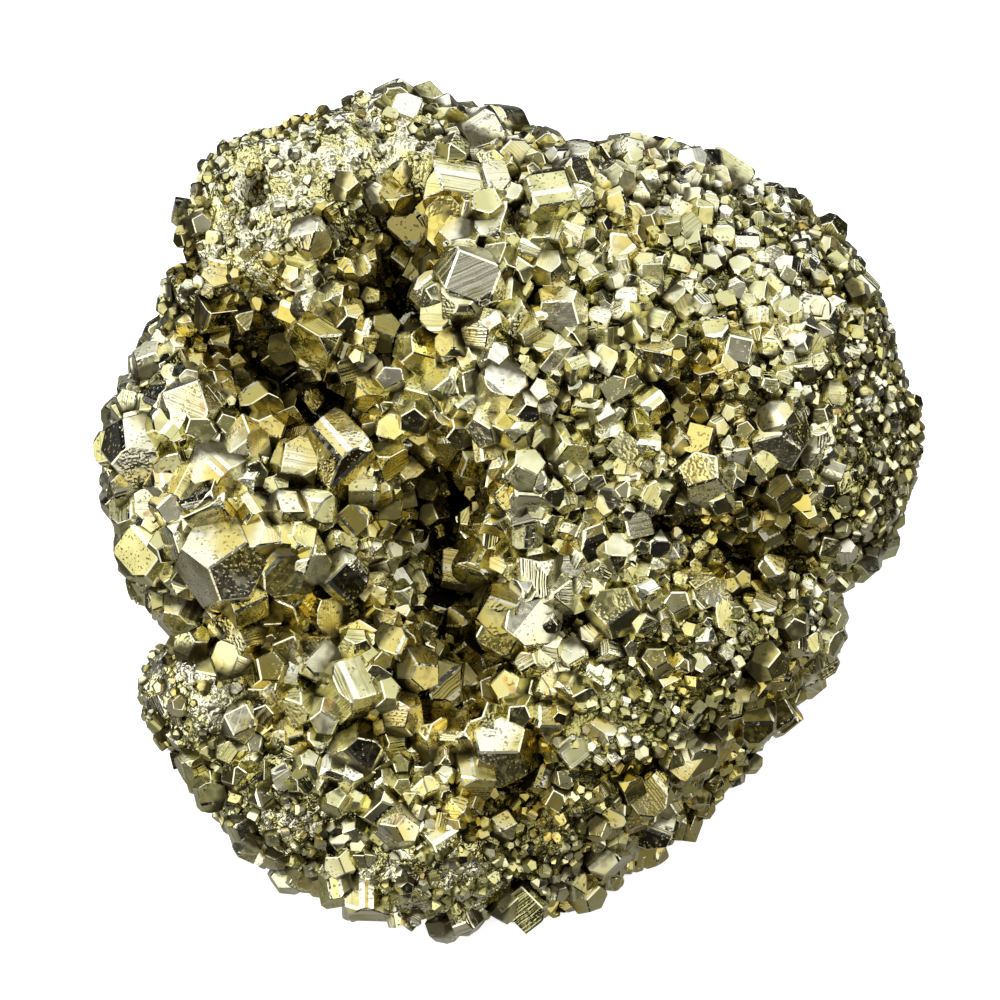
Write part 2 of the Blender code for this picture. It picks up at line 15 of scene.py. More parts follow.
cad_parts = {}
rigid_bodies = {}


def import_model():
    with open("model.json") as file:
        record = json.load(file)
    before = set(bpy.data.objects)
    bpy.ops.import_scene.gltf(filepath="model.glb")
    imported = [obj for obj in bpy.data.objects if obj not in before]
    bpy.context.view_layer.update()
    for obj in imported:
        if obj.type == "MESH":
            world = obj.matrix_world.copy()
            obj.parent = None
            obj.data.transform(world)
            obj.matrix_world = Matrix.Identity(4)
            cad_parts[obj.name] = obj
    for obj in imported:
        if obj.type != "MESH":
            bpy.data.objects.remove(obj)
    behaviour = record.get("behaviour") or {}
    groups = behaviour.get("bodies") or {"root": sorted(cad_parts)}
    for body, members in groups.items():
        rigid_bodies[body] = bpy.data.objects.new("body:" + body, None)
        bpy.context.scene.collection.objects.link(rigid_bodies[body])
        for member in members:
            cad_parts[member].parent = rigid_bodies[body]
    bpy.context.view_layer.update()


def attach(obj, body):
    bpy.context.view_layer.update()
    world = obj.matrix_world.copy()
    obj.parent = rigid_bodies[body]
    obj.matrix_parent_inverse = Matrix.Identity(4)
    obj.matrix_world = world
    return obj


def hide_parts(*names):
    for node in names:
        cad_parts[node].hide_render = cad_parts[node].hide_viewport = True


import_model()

bl_info = {
    "name": "Pyrite specimen",
    "version": (1, 0, 0),
    "blender": (4, 5, 0),
    "location": "3D View > Sidebar > Pyrite",
    "description": "Grows a cluster of pyrite crystals on a lump and lights it",
    "category": "Add Mesh",
}

MM = 0.001
NODE = "pyrite_cluster"
BODY = "root"

# Drawing plane
# Lobes and crystals are set out on a sloping plane that faces the viewer. Right and up lie in that
# plane, and toward is the distance out of it to the viewer.
VIEW_ELEVATION = math.radians(65.0)
VIEW_DISTANCE = 556.0
PLANE_HEIGHT = 24.0
PLANE_RIGHT = -0.83
PLANE_BACK = -0.14

RIGHT = np.array((1.0, 0.0, 0.0))
UP = np.array((0.0, math.sin(VIEW_ELEVATION), math.cos(VIEW_ELEVATION)))
TOWARD = np.array((0.0, -math.cos(VIEW_ELEVATION), math.sin(VIEW_ELEVATION)))
PLANE_ORIGIN = np.array((PLANE_RIGHT, PLANE_BACK, PLANE_HEIGHT))

# Lump
HEART = (1.0, -1.0, -9.0)
LOBE_BLEND = 1.3
EDGE_BLEND = 0.7
FOOT_DEPTH = -5.0
FOOT_INSET = 0.80
RIM_INSET = 0.4
CRUST = 2.2

# Rim lobes: right and up of the outermost point, radius, toward
RIM_LOBES = (
    (-11.0, 41.5, 4.5, 0.0),
    (-1.0, 39.5, 5.0, -4.0),
    (7.5, 36.8, 6.0, -6.0),
    (16.5, 36.2, 5.0, -8.0),
    (23.5, 34.2, 5.0, -10.0),
    (30.0, 31.4, 5.0, -12.0),
    (34.5, 26.6, 5.0, -12.0),
    (37.6, 21.5, 5.0, -11.0),
    (39.6, 15.5, 5.0, -9.0),
    (42.8, 7.6, 5.0, -8.0),
    (40.2, 1.4, 6.0, -9.0),
    (36.4, -5.0, 6.0, -10.0),
    (35.0, -14.8, 5.0, -12.0),
    (29.2, -21.8, 6.0, -13.0),
    (24.2, -29.2, 6.0, -13.0),
    (20.0, -35.6, 6.0, -12.0),
    (14.0, -41.0, 6.0, -10.0),
    (6.0, -43.4, 6.0, -7.0),
    (-3.0, -42.8, 4.5, -4.0),
    (-12.0, -42.4, 4.5, -3.0),
    (-21.0, -38.9, 5.5, -3.0),
    (-28.0, -31.6, 6.0, -3.0),
    (-36.2, -21.2, 3.6, -2.0),
    (-38.4, -5.5, 5.0, -2.0),
    (-40.4, 3.0, 6.0, -2.0),
    (-39.4, 9.5, 4.5, -2.0),
    (-35.5, 17.0, 5.0, -3.0),
    (-33.2, 23.5, 4.5, -1.0),
    (-31.6, 30.0, 3.6, 0.0),
    (-27.8, 35.2, 4.0, 0.0),
    (-20.5, 36.8, 4.5, 0.0),
)

# Front lobes: right, up, toward, radius
FRONT_LOBES = (
    # foot and body
    (0.0, 4.0, -24.0, 18.0),
    (-14.0, 12.0, -16.0, 20.0),
    (14.0, 12.0, -15.0, 20.0),
    (0.0, -14.0, -14.0, 18.0),
    (-14.0, -16.0, -13.0, 17.0),
    # grape-like ridge at the upper left
    (-11.2, 37.0, 1.0, 4.0),
    (-16.5, 33.5, 3.0, 5.2),
    (-23.5, 30.5, 3.0, 6.0),
    (-27.5, 24.0, 2.0, 5.2),
    (-20.0, 26.5, 3.0, 6.6),
    (-28.0, 17.5, -3.0, 5.5),
    # left lobe
    (-30.0, 7.0, 0.0, 8.8),
    (-25.0, -3.0, 0.5, 10.5),
    (-31.5, -2.5, -1.0, 6.8),
    (-16.0, 3.5, 1.0, 8.5),
    # lower left lobe
    (-27.0, -20.0, -1.0, 7.8),
    (-19.5, -28.0, -2.0, 8.6),
    (-12.5, -34.0, -3.0, 7.4),
    (-14.5, -19.0, 0.0, 8.0),
    (-6.0, -33.0, -1.5, 8.0),
    # middle ridge
    (-17.0, 18.5, 3.5, 7.0),
    (-5.5, 31.0, 1.0, 8.0),
    (-3.5, 22.0, 6.0, 7.5),
    (4.0, 27.5, 2.5, 9.0),
    (3.5, 13.0, 4.5, 9.0),
    (2.5, 3.5, 3.5, 8.5),
    (-8.5, 12.0, 2.5, 6.5),
    # right dome
    (20.0, 9.0, -9.0, 19.5),
    (13.0, 16.0, -3.0, 13.0),
    (14.0, 2.0, -3.0, 13.0),
    (26.0, 16.0, -7.0, 12.0),
    (16.0, 26.0, -6.0, 9.8),
    (29.5, 2.0, -6.5, 11.0),
    # lower middle
    (3.5, -11.0, -1.0, 9.0),
    (13.0, -10.5, -3.0, 10.5),
    (0.5, -25.0, -2.5, 7.5),
    (11.0, -23.0, -4.5, 11.5),
    (22.0, -13.5, -5.5, 11.5),
    (5.5, -32.0, -4.5, 8.4),
)

# Hollows: right, up, toward, radius
HOLLOWS = (
    (-26.5, 16.5, 5.0, 4.6),
    (-11.5, 22.5, 9.0, 3.6),
    (-10.5, 27.5, 10.0, 4.0),
    (-21.0, 10.5, 8.0, 4.6),
    (-6.5, 2.5, 8.5, 4.6),
    (-8.5, -7.5, 9.0, 6.0),
    (-6.0, -14.0, 7.0, 4.6),
    (-4.0, -19.5, 7.0, 4.0),
    (1.5, -31.5, 8.0, 4.0),
    (29.5, -6.5, 8.5, 4.5),
    (-24.0, -13.5, 9.5, 4.0),
    (20.5, 11.0, 13.5, 3.5),
)

# Steep lower right side: a plane across the lump, by the bearing of its ridge line
SIDE_BEARING = math.radians(-46.6)
SIDE_REACH = 33.0
SIDE_TOWARD = 1.5
SIDE_TURN = math.radians(63.0)
SIDE_SKIN = 1.3
SIDE_FADE = 0.8
SIDE_SHADE = 0.6

BLOCK, PENTAGON, HEXAGON = "block", "pentagon", "hexagon"
# A block is wider across its corners than the width that the viewer sees.
BLOCK_SHARE = 0.84

# Front crystals: right, up, width, form, lean up, swing right, spin, stand (share of its height clear)
FRONT_CRYSTALS = (
    # grape-like ridge
    (-9.3, 39.7, 4.2, BLOCK, 28, -10, 20, 0.5),
    (-7.2, 36.0, 3.4, BLOCK, 40, 15, 30, 0.5),
    (-12.8, 31.6, 3.6, PENTAGON, 20, 0, 10, 0.5),
    (-16.6, 30.4, 4.4, BLOCK, 36, -6, 10, 0.5),
    (-13.4, 27.2, 4.4, BLOCK, 30, -10, 24, 0.5),
    (-15.4, 23.6, 4.0, PENTAGON, 12, 10, 0, 0.5),
    (-12.2, 20.2, 4.0, BLOCK, -20, 12, 30, 0.5),
    (-27.9, 26.7, 3.6, HEXAGON, 8, -8, 0, 0.5),
    (-28.1, 22.6, 5.0, PENTAGON, 12, -12, 25, 0.5),
    (-26.9, 17.7, 4.2, BLOCK, -24, -20, 40, 0.5),
    # middle ridge
    (-18.7, 16.0, 6.4, BLOCK, 40, 12, 8, 0.6),
    (-10.6, 23.5, 5.2, PENTAGON, 36, -12, 18, 0.5),
    (-19.4, 24.6, 4.8, HEXAGON, -16, -18, 12, 0.5),
    (-20.6, 22.0, 3.8, BLOCK, 18, -10, 35, 0.5),
    (-21.6, 19.1, 3.6, BLOCK, -10, -30, 20, 0.5),
    (-18.3, 19.7, 3.8, PENTAGON, -30, 10, 0, 0.5),
    (-5.0, 31.8, 6.4, BLOCK, 44, 10, 24, 0.6),
    (-1.1, 32.0, 4.6, BLOCK, 22, 28, 10, 0.5),
    (-8.9, 27.9, 6.8, HEXAGON, -6, -18, 32, 0.5),
    (-3.6, 26.5, 5.2, BLOCK, -34, -12, 16, 0.5),
    (-0.5, 27.9, 5.0, BLOCK, 34, -22, 6, 0.6),
    (-3.0, 22.2, 6.6, HEXAGON, 4, 4, 14, 0.6),
    (4.0, 24.4, 5.4, BLOCK, 42, 16, 30, 0.6),
    (5.4, 30.5, 7.0, BLOCK, 44, 0, 12, 0.5),
    (9.3, 30.7, 4.2, HEXAGON, 6, 12, 22, 0.5),
    (5.4, 26.0, 6.0, BLOCK, 46, -16, 40, 0.5),
    (12.7, 25.6, 5.6, HEXAGON, 2, 14, 10, 0.5),
    (12.3, 20.1, 4.6, BLOCK, 40, 6, 18, 0.5),
    (6.4, 19.7, 6.4, PENTAGON, 14, -6, 28, 0.6),
    (1.7, 18.5, 4.8, BLOCK, 20, -30, 8, 0.5),
    (-1.9, 15.6, 4.6, BLOCK, 36, 6, 36, 0.5),
    (-6.6, 18.7, 5.4, BLOCK, -22, -24, 12, 0.5),
    (-10.1, 18.9, 3.6, BLOCK, 10, 10, 20, 0.5),
    (6.2, 14.8, 5.0, BLOCK, -20, 22, 28, 0.5),
    (15.4, 14.6, 5.4, BLOCK, 50, 8, 10, 0.6),
    (-7.0, 10.3, 6.8, PENTAGON, 16, 10, 6, 0.5),
    (-10.1, 9.1, 4.8, BLOCK, 38, -20, 14, 0.5),
    (-10.1, 5.4, 4.2, PENTAGON, 26, 18, 20, 0.5),
    (1.3, 7.2, 6.0, BLOCK, 38, -8, 22, 0.6),
    (1.3, 2.9, 4.8, PENTAGON, 18, 0, 0, 0.5),
    (-3.0, 9.9, 4.0, BLOCK, -32, 12, 30, 0.5),
    (7.2, 4.6, 6.2, PENTAGON, 30, 10, 16, 0.5),
    # right dome
    (11.7, 33.8, 4.8, PENTAGON, 34, 8, 12, 0.5),
    (19.6, 35.0, 5.0, HEXAGON, 24, 20, 28, 0.5),
    (9.5, 8.7, 4.6, BLOCK, 44, 8, 20, 0.5),
    (11.3, 6.8, 5.0, BLOCK, 34, -14, 34, 0.5),
    (13.0, 2.1, 4.0, HEXAGON, 40, 0, 10, 0.5),
    (11.1, 0.3, 4.8, PENTAGON, 12, -8, 22, 0.5),
    (19.6, 26.6, 4.6, BLOCK, 26, -10, 12, 0.5),
    (29.1, 24.0, 4.2, PENTAGON, 18, 16, 30, 0.5),
    (31.5, 24.8, 4.6, BLOCK, 42, 20, 16, 0.5),
    (32.2, 20.0, 5.0, HEXAGON, 4, 18, 8, 0.5),
    (24.1, 15.5, 4.8, HEXAGON, 4, 6, 18, 0.5),
    (27.6, 16.6, 4.8, BLOCK, -28, 6, 26, 0.5),
    (21.5, 17.0, 4.4, BLOCK, 34, 10, 22, 0.5),
    (14.8, 9.5, 4.4, BLOCK, 42, 24, 10, 0.5),
    (28.6, 6.2, 8.4, PENTAGON, 22, 8, 14, 0.5),
    (33.0, 6.0, 4.6, HEXAGON, 10, 24, 0, 0.5),
    (20.6, 2.2, 8.0, PENTAGON, -24, 0, 18, 0.5),
    (23.7, 4.5, 4.8, BLOCK, 44, 4, 30, 0.5),
    (28.9, 0.1, 5.6, PENTAGON, -14, 14, 22, 0.5),
    (27.2, -4.4, 6.0, BLOCK, 34, 20, 12, 0.5),
    (22.6, -11.4, 5.2, BLOCK, 10, 30, 14, 0.5),
    (20.2, -16.8, 4.4, BLOCK, 30, 18, 26, 0.5),
    (16.8, -17.9, 4.4, PENTAGON, 16, 6, 16, 0.5),
    # middle
    (-6.8, 0.9, 5.8, BLOCK, -34, 0, 20, 0.4),
    (-1.3, -3.4, 5.4, BLOCK, 32, -12, 12, 0.5),
    (2.1, -2.8, 4.8, PENTAGON, -34, 6, 8, 0.5),
    (3.4, -6.0, 5.2, BLOCK, 16, 26, 10, 0.5),
    (8.1, -4.0, 4.8, BLOCK, -10, 26, 30, 0.5),
    (7.2, -6.6, 4.6, PENTAGON, 38, 4, 20, 0.5),
    (5.4, -9.3, 4.8, HEXAGON, 42, 4, 14, 0.5),
    (2.3, -8.9, 5.2, BLOCK, 26, -24, 24, 0.5),
    (13.6, -3.2, 4.4, BLOCK, -4, 4, 6, 0.5),
    (-4.6, -5.6, 6.0, BLOCK, -18, -22, 18, 0.5),
    (2.3, -12.0, 6.6, BLOCK, -8, 28, 10, 0.5),
    (-0.7, -11.5, 6.2, PENTAGON, 18, -6, 20, 0.6),
    (11.5, -11.1, 6.6, PENTAGON, -12, 6, 26, 0.5),
    (-11.7, -7.7, 5.6, BLOCK, 40, 4, 4, 0.5),
    (-13.2, -12.8, 6.2, PENTAGON, -20, -10, 12, 0.5),
    # left lobe
    (-31.0, 9.3, 6.2, HEXAGON, 10, -10, 6, 0.6),
    (-33.0, 7.2, 6.2, BLOCK, 36, -10, 14, 0.6),
    (-37.0, 4.8, 8.2, PENTAGON, 30, -24, 20, 0.55),
    (-28.9, -0.3, 6.8, BLOCK, -40, 0, 30, 0.6),
    (-21.0, 4.0, 5.6, BLOCK, 38, 10, 22, 0.6),
    (-15.5, 4.6, 9.0, BLOCK, 26, -22, 40, 0.5),
    (-38.1, -1.7, 5.4, BLOCK, 28, -34, 8, 0.5),
    (-35.9, -5.8, 8.0, BLOCK, -4, -34, 4, 0.5),
    (-27.7, -6.6, 9.8, PENTAGON, 10, 2, 28, 0.55),
    (-22.8, -3.8, 5.4, BLOCK, 42, 10, 24, 0.5),
    (-26.5, -13.2, 7.6, BLOCK, 40, 6, 2, 0.5),
    (-19.6, -10.9, 6.2, PENTAGON, 30, 14, 16, 0.5),
    (-27.9, 6.0, 3.8, BLOCK, 34, 6, 18, 0.5),
    (-32.4, -2.4, 5.0, PENTAGON, 24, -10, 28, 0.5),
    # lower left lobe
    (-28.2, -16.3, 5.6, BLOCK, 34, -12, 18, 0.5),
    (-25.1, -17.1, 5.2, BLOCK, -10, 24, 12, 0.5),
    (-14.9, -19.0, 7.6, BLOCK, 30, 26, 16, 0.6),
    (-21.3, -17.8, 5.0, PENTAGON, 34, 4, 10, 0.5),
    (-23.9, -21.4, 4.6, BLOCK, 44, -6, 26, 0.5),
    (-18.2, -24.1, 4.2, BLOCK, 20, 20, 14, 0.5),
    (-25.8, -27.3, 4.4, BLOCK, 34, -16, 30, 0.5),
    (-22.1, -27.8, 4.0, PENTAGON, 6, -4, 12, 0.5),
    (-34.9, -21.4, 5.2, PENTAGON, 14, -24, 0, 0.4),
    (-9.6, -31.8, 5.4, BLOCK, 30, 8, 20, 0.5),
    (-11.7, -29.0, 4.8, HEXAGON, 6, 8, 10, 0.5),
    (-13.3, -25.9, 4.6, BLOCK, 2, 28, 16, 0.5),
    (-9.4, -23.1, 4.4, BLOCK, 6, -26, 22, 0.5),
    # foot
    (-5.7, -18.6, 6.2, HEXAGON, 4, 14, 10, 0.6),
    (2.1, -19.8, 5.6, PENTAGON, -20, 6, 24, 0.5),
    (4.5, -22.0, 4.4, HEXAGON, 18, 16, 16, 0.5),
    (0.2, -25.1, 7.8, PENTAGON, -6, -4, 8, 0.6),
    (-3.2, -21.8, 5.6, BLOCK, -26, 16, 18, 0.5),
    (9.6, -17.8, 5.4, BLOCK, 38, 14, 14, 0.5),
    (10.2, -23.3, 5.2, BLOCK, 40, 20, 20, 0.5),
    (4.1, -29.0, 4.6, BLOCK, 8, 26, 12, 0.5),
    (-4.7, -31.6, 5.4, BLOCK, 36, -8, 28, 0.5),
    (-5.9, -34.1, 4.6, PENTAGON, 22, 8, 14, 0.5),
)

# Smaller marked crystals between them: right, up, width, form, lean up, swing right, spin
MARKED_CRYSTALS = (
    (-31.8, 14.2, 2.6, BLOCK, 16, -30, 10), (-33.0, 12.6, 2.6, BLOCK, 38, 0, 30),
    (-11.4, 30.7, 3.0, BLOCK, 40, 20, 15), (-9.3, 39.7, 3.0, BLOCK, 20, 6, 20),
    (-1.1, 32.0, 3.4, BLOCK, 36, 16, 70), (-0.7, 20.5, 2.6, PENTAGON, 4, 0, 10),
    (8.3, 26.5, 3.0, BLOCK, -10, -28, 20), (14.8, 24.2, 2.8, PENTAGON, 4, 4, 10),
    (3.6, 18.7, 2.4, BLOCK, 40, 0, 20), (1.7, 18.5, 3.6, BLOCK, 20, -28, 40),
    (10.1, 18.3, 2.2, BLOCK, 42, 8, 10), (24.8, 26.1, 2.8, BLOCK, 40, 6, 25),
    (29.1, 24.0, 2.9, PENTAGON, 22, 10, 8), (34.3, 19.8, 2.4, HEXAGON, 6, 12, 0),
    (29.3, 19.2, 2.6, BLOCK, 42, 0, 40), (21.5, 17.0, 3.0, BLOCK, 38, 0, 12),
    (27.4, 11.6, 2.8, PENTAGON, 34, 6, 30), (14.8, 9.5, 3.0, BLOCK, 44, -10, 16),
    (-33.0, 3.6, 3.2, BLOCK, -28, -6, 20), (-27.9, 6.0, 3.0, BLOCK, 36, 8, 34),
    (-35.3, -0.3, 3.4, BLOCK, -14, -20, 28), (-25.1, 2.9, 3.6, BLOCK, 40, -14, 22),
    (-10.1, 5.4, 3.6, BLOCK, 30, 24, 44), (-3.4, 12.1, 2.8, BLOCK, 40, 10, 8),
    (3.6, 1.7, 2.8, HEXAGON, 2, 0, 24), (7.9, 1.9, 3.0, PENTAGON, 6, 8, 14),
    (2.7, 0.0, 2.6, BLOCK, 44, 6, 18), (0.0, 0.1, 2.6, BLOCK, -16, 26, 12),
    (14.6, 5.6, 2.6, BLOCK, 40, 8, 26), (15.2, 0.5, 2.8, BLOCK, -12, 26, 30),
    (4.8, -2.8, 2.8, BLOCK, -10, -26, 8), (9.3, -4.0, 3.2, BLOCK, -32, 4, 20),
    (12.5, -6.2, 2.2, BLOCK, 42, 4, 10), (-11.5, -3.6, 3.0, BLOCK, -30, -6, 16),
    (14.6, -9.1, 3.0, BLOCK, 40, 0, 34), (30.7, -3.8, 2.8, BLOCK, 36, 14, 20),
    (20.2, -16.8, 3.0, PENTAGON, 30, 12, 8), (16.8, -17.9, 2.8, BLOCK, 24, 16, 36),
    (26.7, -10.5, 2.6, BLOCK, 42, 14, 24), (18.1, -10.1, 3.8, PENTAGON, -28, 12, 18),
    (-19.0, -15.1, 3.4, BLOCK, -28, 8, 26), (-21.9, -23.1, 3.2, PENTAGON, 4, -6, 12),
    (-18.2, -24.1, 3.0, BLOCK, 26, 16, 40), (-22.1, -27.8, 3.0, BLOCK, 6, 4, 22),
    (-3.2, -21.8, 3.4, HEXAGON, 12, 6, 16), (4.5, -22.0, 3.6, HEXAGON, 16, 8, 4),
    (2.7, -16.5, 3.4, PENTAGON, -30, 2, 30), (7.0, -25.1, 3.0, BLOCK, 4, 10, 14),
    (8.4, -19.4, 3.0, BLOCK, -32, 8, 24), (-5.9, -34.1, 3.2, BLOCK, 36, -4, 16),
    (-13.6, -40.6, 4.2, BLOCK, 24, 6, 10), (19.4, 34.6, 3.4, PENTAGON, 24, 10, 20),
)

# Crystals on the sides and back, and between the front crystals
FILL_SEED = 47
FILL_TRIES = 5200
FILL_SPACING = 0.60
FILL_FRONT_WIDTHS = (3.6, 5.4)
FILL_SIDE_WIDTHS = (4.8, 6.6)
FILL_FRONT_FACING = 0.12
FILL_STAND = 0.40
FILL_FORMS = (BLOCK, BLOCK, BLOCK, BLOCK, PENTAGON, PENTAGON, HEXAGON)
SMALL_FORMS = (BLOCK, BLOCK, BLOCK, PENTAGON, PENTAGON, PENTAGON, HEXAGON)
FILL_LEAN = math.radians(38.0)
FILL_CLEAR_OF_BASE = 2.4
MARCH_START = 70.0
MARCH_STEPS = 90
MARCH_CAUTION = 0.75
MARCH_CLOSE = 1e-4
MARCH_BATCH = 6000
SLOPE_PROBE = 0.2

# Fine-grained areas of the front: right, up, half width, half height, fineness
FINE_AREAS = (
    (-14.0, 36.5, 9.0, 5.5, 1.0),
    (-24.0, 33.5, 9.5, 8.0, 1.0),
    (-29.0, 24.0, 7.0, 6.0, 0.8),
    (40.0, 10.0, 5.0, 14.0, 0.9),
    (33.0, 26.0, 6.0, 6.0, 0.6),
    (14.0, -24.0, 9.0, 7.0, 1.0),
    (6.0, -37.0, 5.0, 4.0, 0.9),
    (15.0, -30.0, 6.0, 4.0, 1.0),
    (29.0, -14.0, 5.0, 4.0, 0.9),
    (4.0, -33.0, 8.0, 5.0, 0.7),
    (-33.5, -21.0, 6.0, 6.0, 1.0),
    (-24.0, -33.0, 8.0, 5.0, 0.7),
    (-7.0, -39.0, 8.0, 4.0, 0.8),
    (22.0, -22.0, 6.0, 7.0, 1.0),
)
SIDE_FINENESS = 0.15

# Knobbly areas of the front: right, up, half width, half height, share
KNOB_AREAS = (
    (-14.0, 36.5, 9.0, 5.5, 1.0),
    (-24.0, 32.0, 8.0, 6.0, 1.0),
    (-28.0, 24.0, 6.0, 6.0, 0.9),
    (-33.5, -21.0, 6.0, 6.0, 1.0),
    (-24.0, -32.0, 9.0, 5.0, 0.9),
    (-7.0, -39.0, 8.0, 4.0, 0.8),
)

# Coarse-grained areas of the front: right, up, half width, half height, coarseness
COARSE_AREAS = (
    (-26.0, 0.0, 13.0, 13.0, 1.0),
    (-20.0, -16.0, 12.0, 9.0, 1.0),
    (-14.0, 12.0, 12.0, 10.0, 1.0),
    (-5.0, 26.0, 10.0, 9.0, 1.0),
    (2.0, 12.0, 9.0, 14.0, 0.8),
    (-3.0, -16.0, 10.0, 14.0, 0.9),
    (8.0, -8.0, 10.0, 9.0, 0.5),
)
SIDE_COARSENESS = 0.45
# The right dome has crystals of an even, smaller size.
DOME_AREAS = ((23.0, 12.0, 19.0, 26.0, 1.0),)
DOME_COARSENESS = 0.1
DOME_SHARE = 0.84

# Pockets between the crystals, sunk into the crust and darkened with painted shade: right, up, half width,
# half height, depth share
POCKETS = (
    (-26.8, 17.2, 4.0, 2.6, 1.0),
    (-12.0, 22.6, 2.6, 3.4, 1.0),
    (-20.5, 12.5, 3.0, 2.4, 0.7),
    (-6.8, 1.4, 4.2, 3.2, 1.0),
    (-6.2, -6.0, 2.6, 3.6, 0.9),
    (-6.0, -13.4, 4.8, 3.0, 1.0),
    (-1.0, -19.0, 2.0, 2.6, 0.9),
    (1.2, -29.4, 3.0, 2.2, 1.0),
    (30.0, -5.4, 4.2, 2.4, 1.0),
    (20.0, -1.6, 4.4, 1.8, 0.9),
    (28.6, 1.4, 3.6, 1.6, 0.8),
    (9.4, -13.8, 3.4, 1.8, 0.8),
    (-15.2, -1.2, 3.0, 1.6, 0.8),
    (-28.5, -11.6, 4.0, 1.4, 0.9),
    (-17.0, -15.2, 2.2, 1.6, 0.8),
    (-25.4, 32.4, 1.6, 2.2, 0.9),
    (-32.4, 25.0, 1.4, 3.0, 0.9),
    (-18.6, 28.6, 2.0, 1.4, 0.8),
    (5.6, 21.8, 2.6, 1.4, 0.7),
    (8.6, 11.0, 2.4, 1.4, 0.7),
    (19.0, 12.4, 2.6, 1.4, 0.7),
    (-20.4, -25.6, 2.6, 1.6, 0.8),
    (-9.6, -27.4, 2.4, 1.6, 0.8),
    (12.6, -28.6, 4.0, 1.4, 0.7),
)
POCKETS_BACK = -12.0
POCKETS_FADE = 5.0
POCKET_DEPTH = 2.6
POCKET_BARE = 0.6

BED_DETAIL = 7
BED_RELIEF = 0.35
BED_RELIEF_GRAIN = 0.9
BED_FOOT = 0.9
HOLLOW_REACH = 4.0
HOLLOW_EXTRA = 3.0
FINE_RISE = 1.3
KNOB_START = 0.3
KNOB_SIZES = (2.6, 1.1)
KNOB_MIX = 0.6
KNOB_REACH = 0.85
KNOB_BASE = 0.5
KNOB_HEIGHT = 1.7
AREA_EDGE = 2.0


def drawing_point(right, up, toward):
    """World place of a point that the viewer sees at right and up, toward in front of the plane."""
    spread = (VIEW_DISTANCE - toward) / VIEW_DISTANCE
    return PLANE_ORIGIN + (RIGHT * right + UP * up) * spread + TOWARD * toward


def as_drawn(points):
    """Right and up on the drawing plane at which the viewer sees each point."""
    offsets = points - PLANE_ORIGIN
    spread = (VIEW_DISTANCE - offsets @ TOWARD) / VIEW_DISTANCE
    return offsets @ RIGHT / spread, offsets @ UP / spread


def lobe_segments():
    """Start, end and radius of each lobe: a rim lobe runs down into the foot, a front lobe is a ball."""
    heart = drawing_point(*HEART)
    starts, ends, radii = [], [], []
    for right, up, radius, toward in RIM_LOBES:
        edge = Vector((right - HEART[0], up - HEART[1]))
        inner = edge * (1.0 - (radius + RIM_INSET) / edge.length)
        start = drawing_point(HEART[0] + inner.x, HEART[1] + inner.y, toward)
        foot = heart + (start - heart) * FOOT_INSET
        foot[2] = FOOT_DEPTH
        starts.append(start)
        ends.append(foot)
        radii.append(radius)
    for right, up, toward, radius in FRONT_LOBES:
        place = drawing_point(right, up, toward)
        starts.append(place)
        ends.append(place)
        radii.append(radius)
    return np.array(starts), np.array(ends), np.array(radii)


LOBE_STARTS, LOBE_ENDS, LOBE_RADII = lobe_segments()
HOLLOW_CENTRES = np.array([drawing_point(*row[:3]) for row in HOLLOWS])
HOLLOW_RADII = np.array([row[3] for row in HOLLOWS])
SIDE_NORMAL = (
    (RIGHT * math.cos(SIDE_BEARING) + UP * math.sin(SIDE_BEARING)) * math.sin(SIDE_TURN)
    + TOWARD * math.cos(SIDE_TURN)
)
SIDE_POINT = drawing_point(
    SIDE_REACH * math.cos(SIDE_BEARING), SIDE_REACH * math.sin(SIDE_BEARING), SIDE_TOWARD
)


def hollow_gaps(points):
    """Distance of each point from the wall of each hollow, below zero inside the hollow."""
    away = np.linalg.norm(points[:, None, :] - HOLLOW_CENTRES[None, :, :], axis=2)
    return away - HOLLOW_RADII[None, :]


def lump_distance(points):
    """Distance of each point from the lump's surface, below zero inside it."""
    runs = LOBE_ENDS - LOBE_STARTS
    lengths = np.maximum((runs * runs).sum(axis=1), 1e-9)
    offsets = points[:, None, :] - LOBE_STARTS[None, :, :]
    along = np.clip((offsets * runs[None, :, :]).sum(axis=2) / lengths[None, :], 0.0, 1.0)
    nearest = offsets - along[:, :, None] * runs[None, :, :]
    gaps = np.sqrt((nearest * nearest).sum(axis=2)) - LOBE_RADII[None, :]
    lowest = gaps.min(axis=1)
    lump = lowest - LOBE_BLEND * np.log(np.exp((lowest[:, None] - gaps) / LOBE_BLEND).sum(axis=1))
    holes = -hollow_gaps(points)
    side = (points - SIDE_POINT) @ SIDE_NORMAL
    parts = np.column_stack((lump, holes, side))
    highest = parts.max(axis=1)
    return highest + EDGE_BLEND * np.log(np.exp((parts - highest[:, None]) / EDGE_BLEND).sum(axis=1))


def march(starts, directions):
    """Where rays from outside first meet the lump."""
    travelled = np.zeros(len(starts))
    for first in range(0, len(starts), MARCH_BATCH):
        live = np.arange(first, min(first + MARCH_BATCH, len(starts)))
        for _ in range(MARCH_STEPS):
            spots = starts[live] + directions[live] * travelled[live, None]
            step = MARCH_CAUTION * lump_distance(spots)
            travelled[live] += step
            live = live[np.abs(step) > MARCH_CLOSE]
            if not len(live):
                break
    return starts + directions * travelled[:, None]


def surface_toward_heart(outward):
    """Points of the lump's surface in the given directions from its heart."""
    heart = drawing_point(*HEART)
    return march(heart + outward * MARCH_START, -outward)


def surface_seen(right, up):
    """Point of the lump that the viewer sees at right and up on the drawing plane."""
    near = drawing_point(right, up, MARCH_START)
    direction = drawing_point(right, up, 0.0) - near
    direction /= np.linalg.norm(direction)
    return march(near[None, :], direction[None, :])[0]


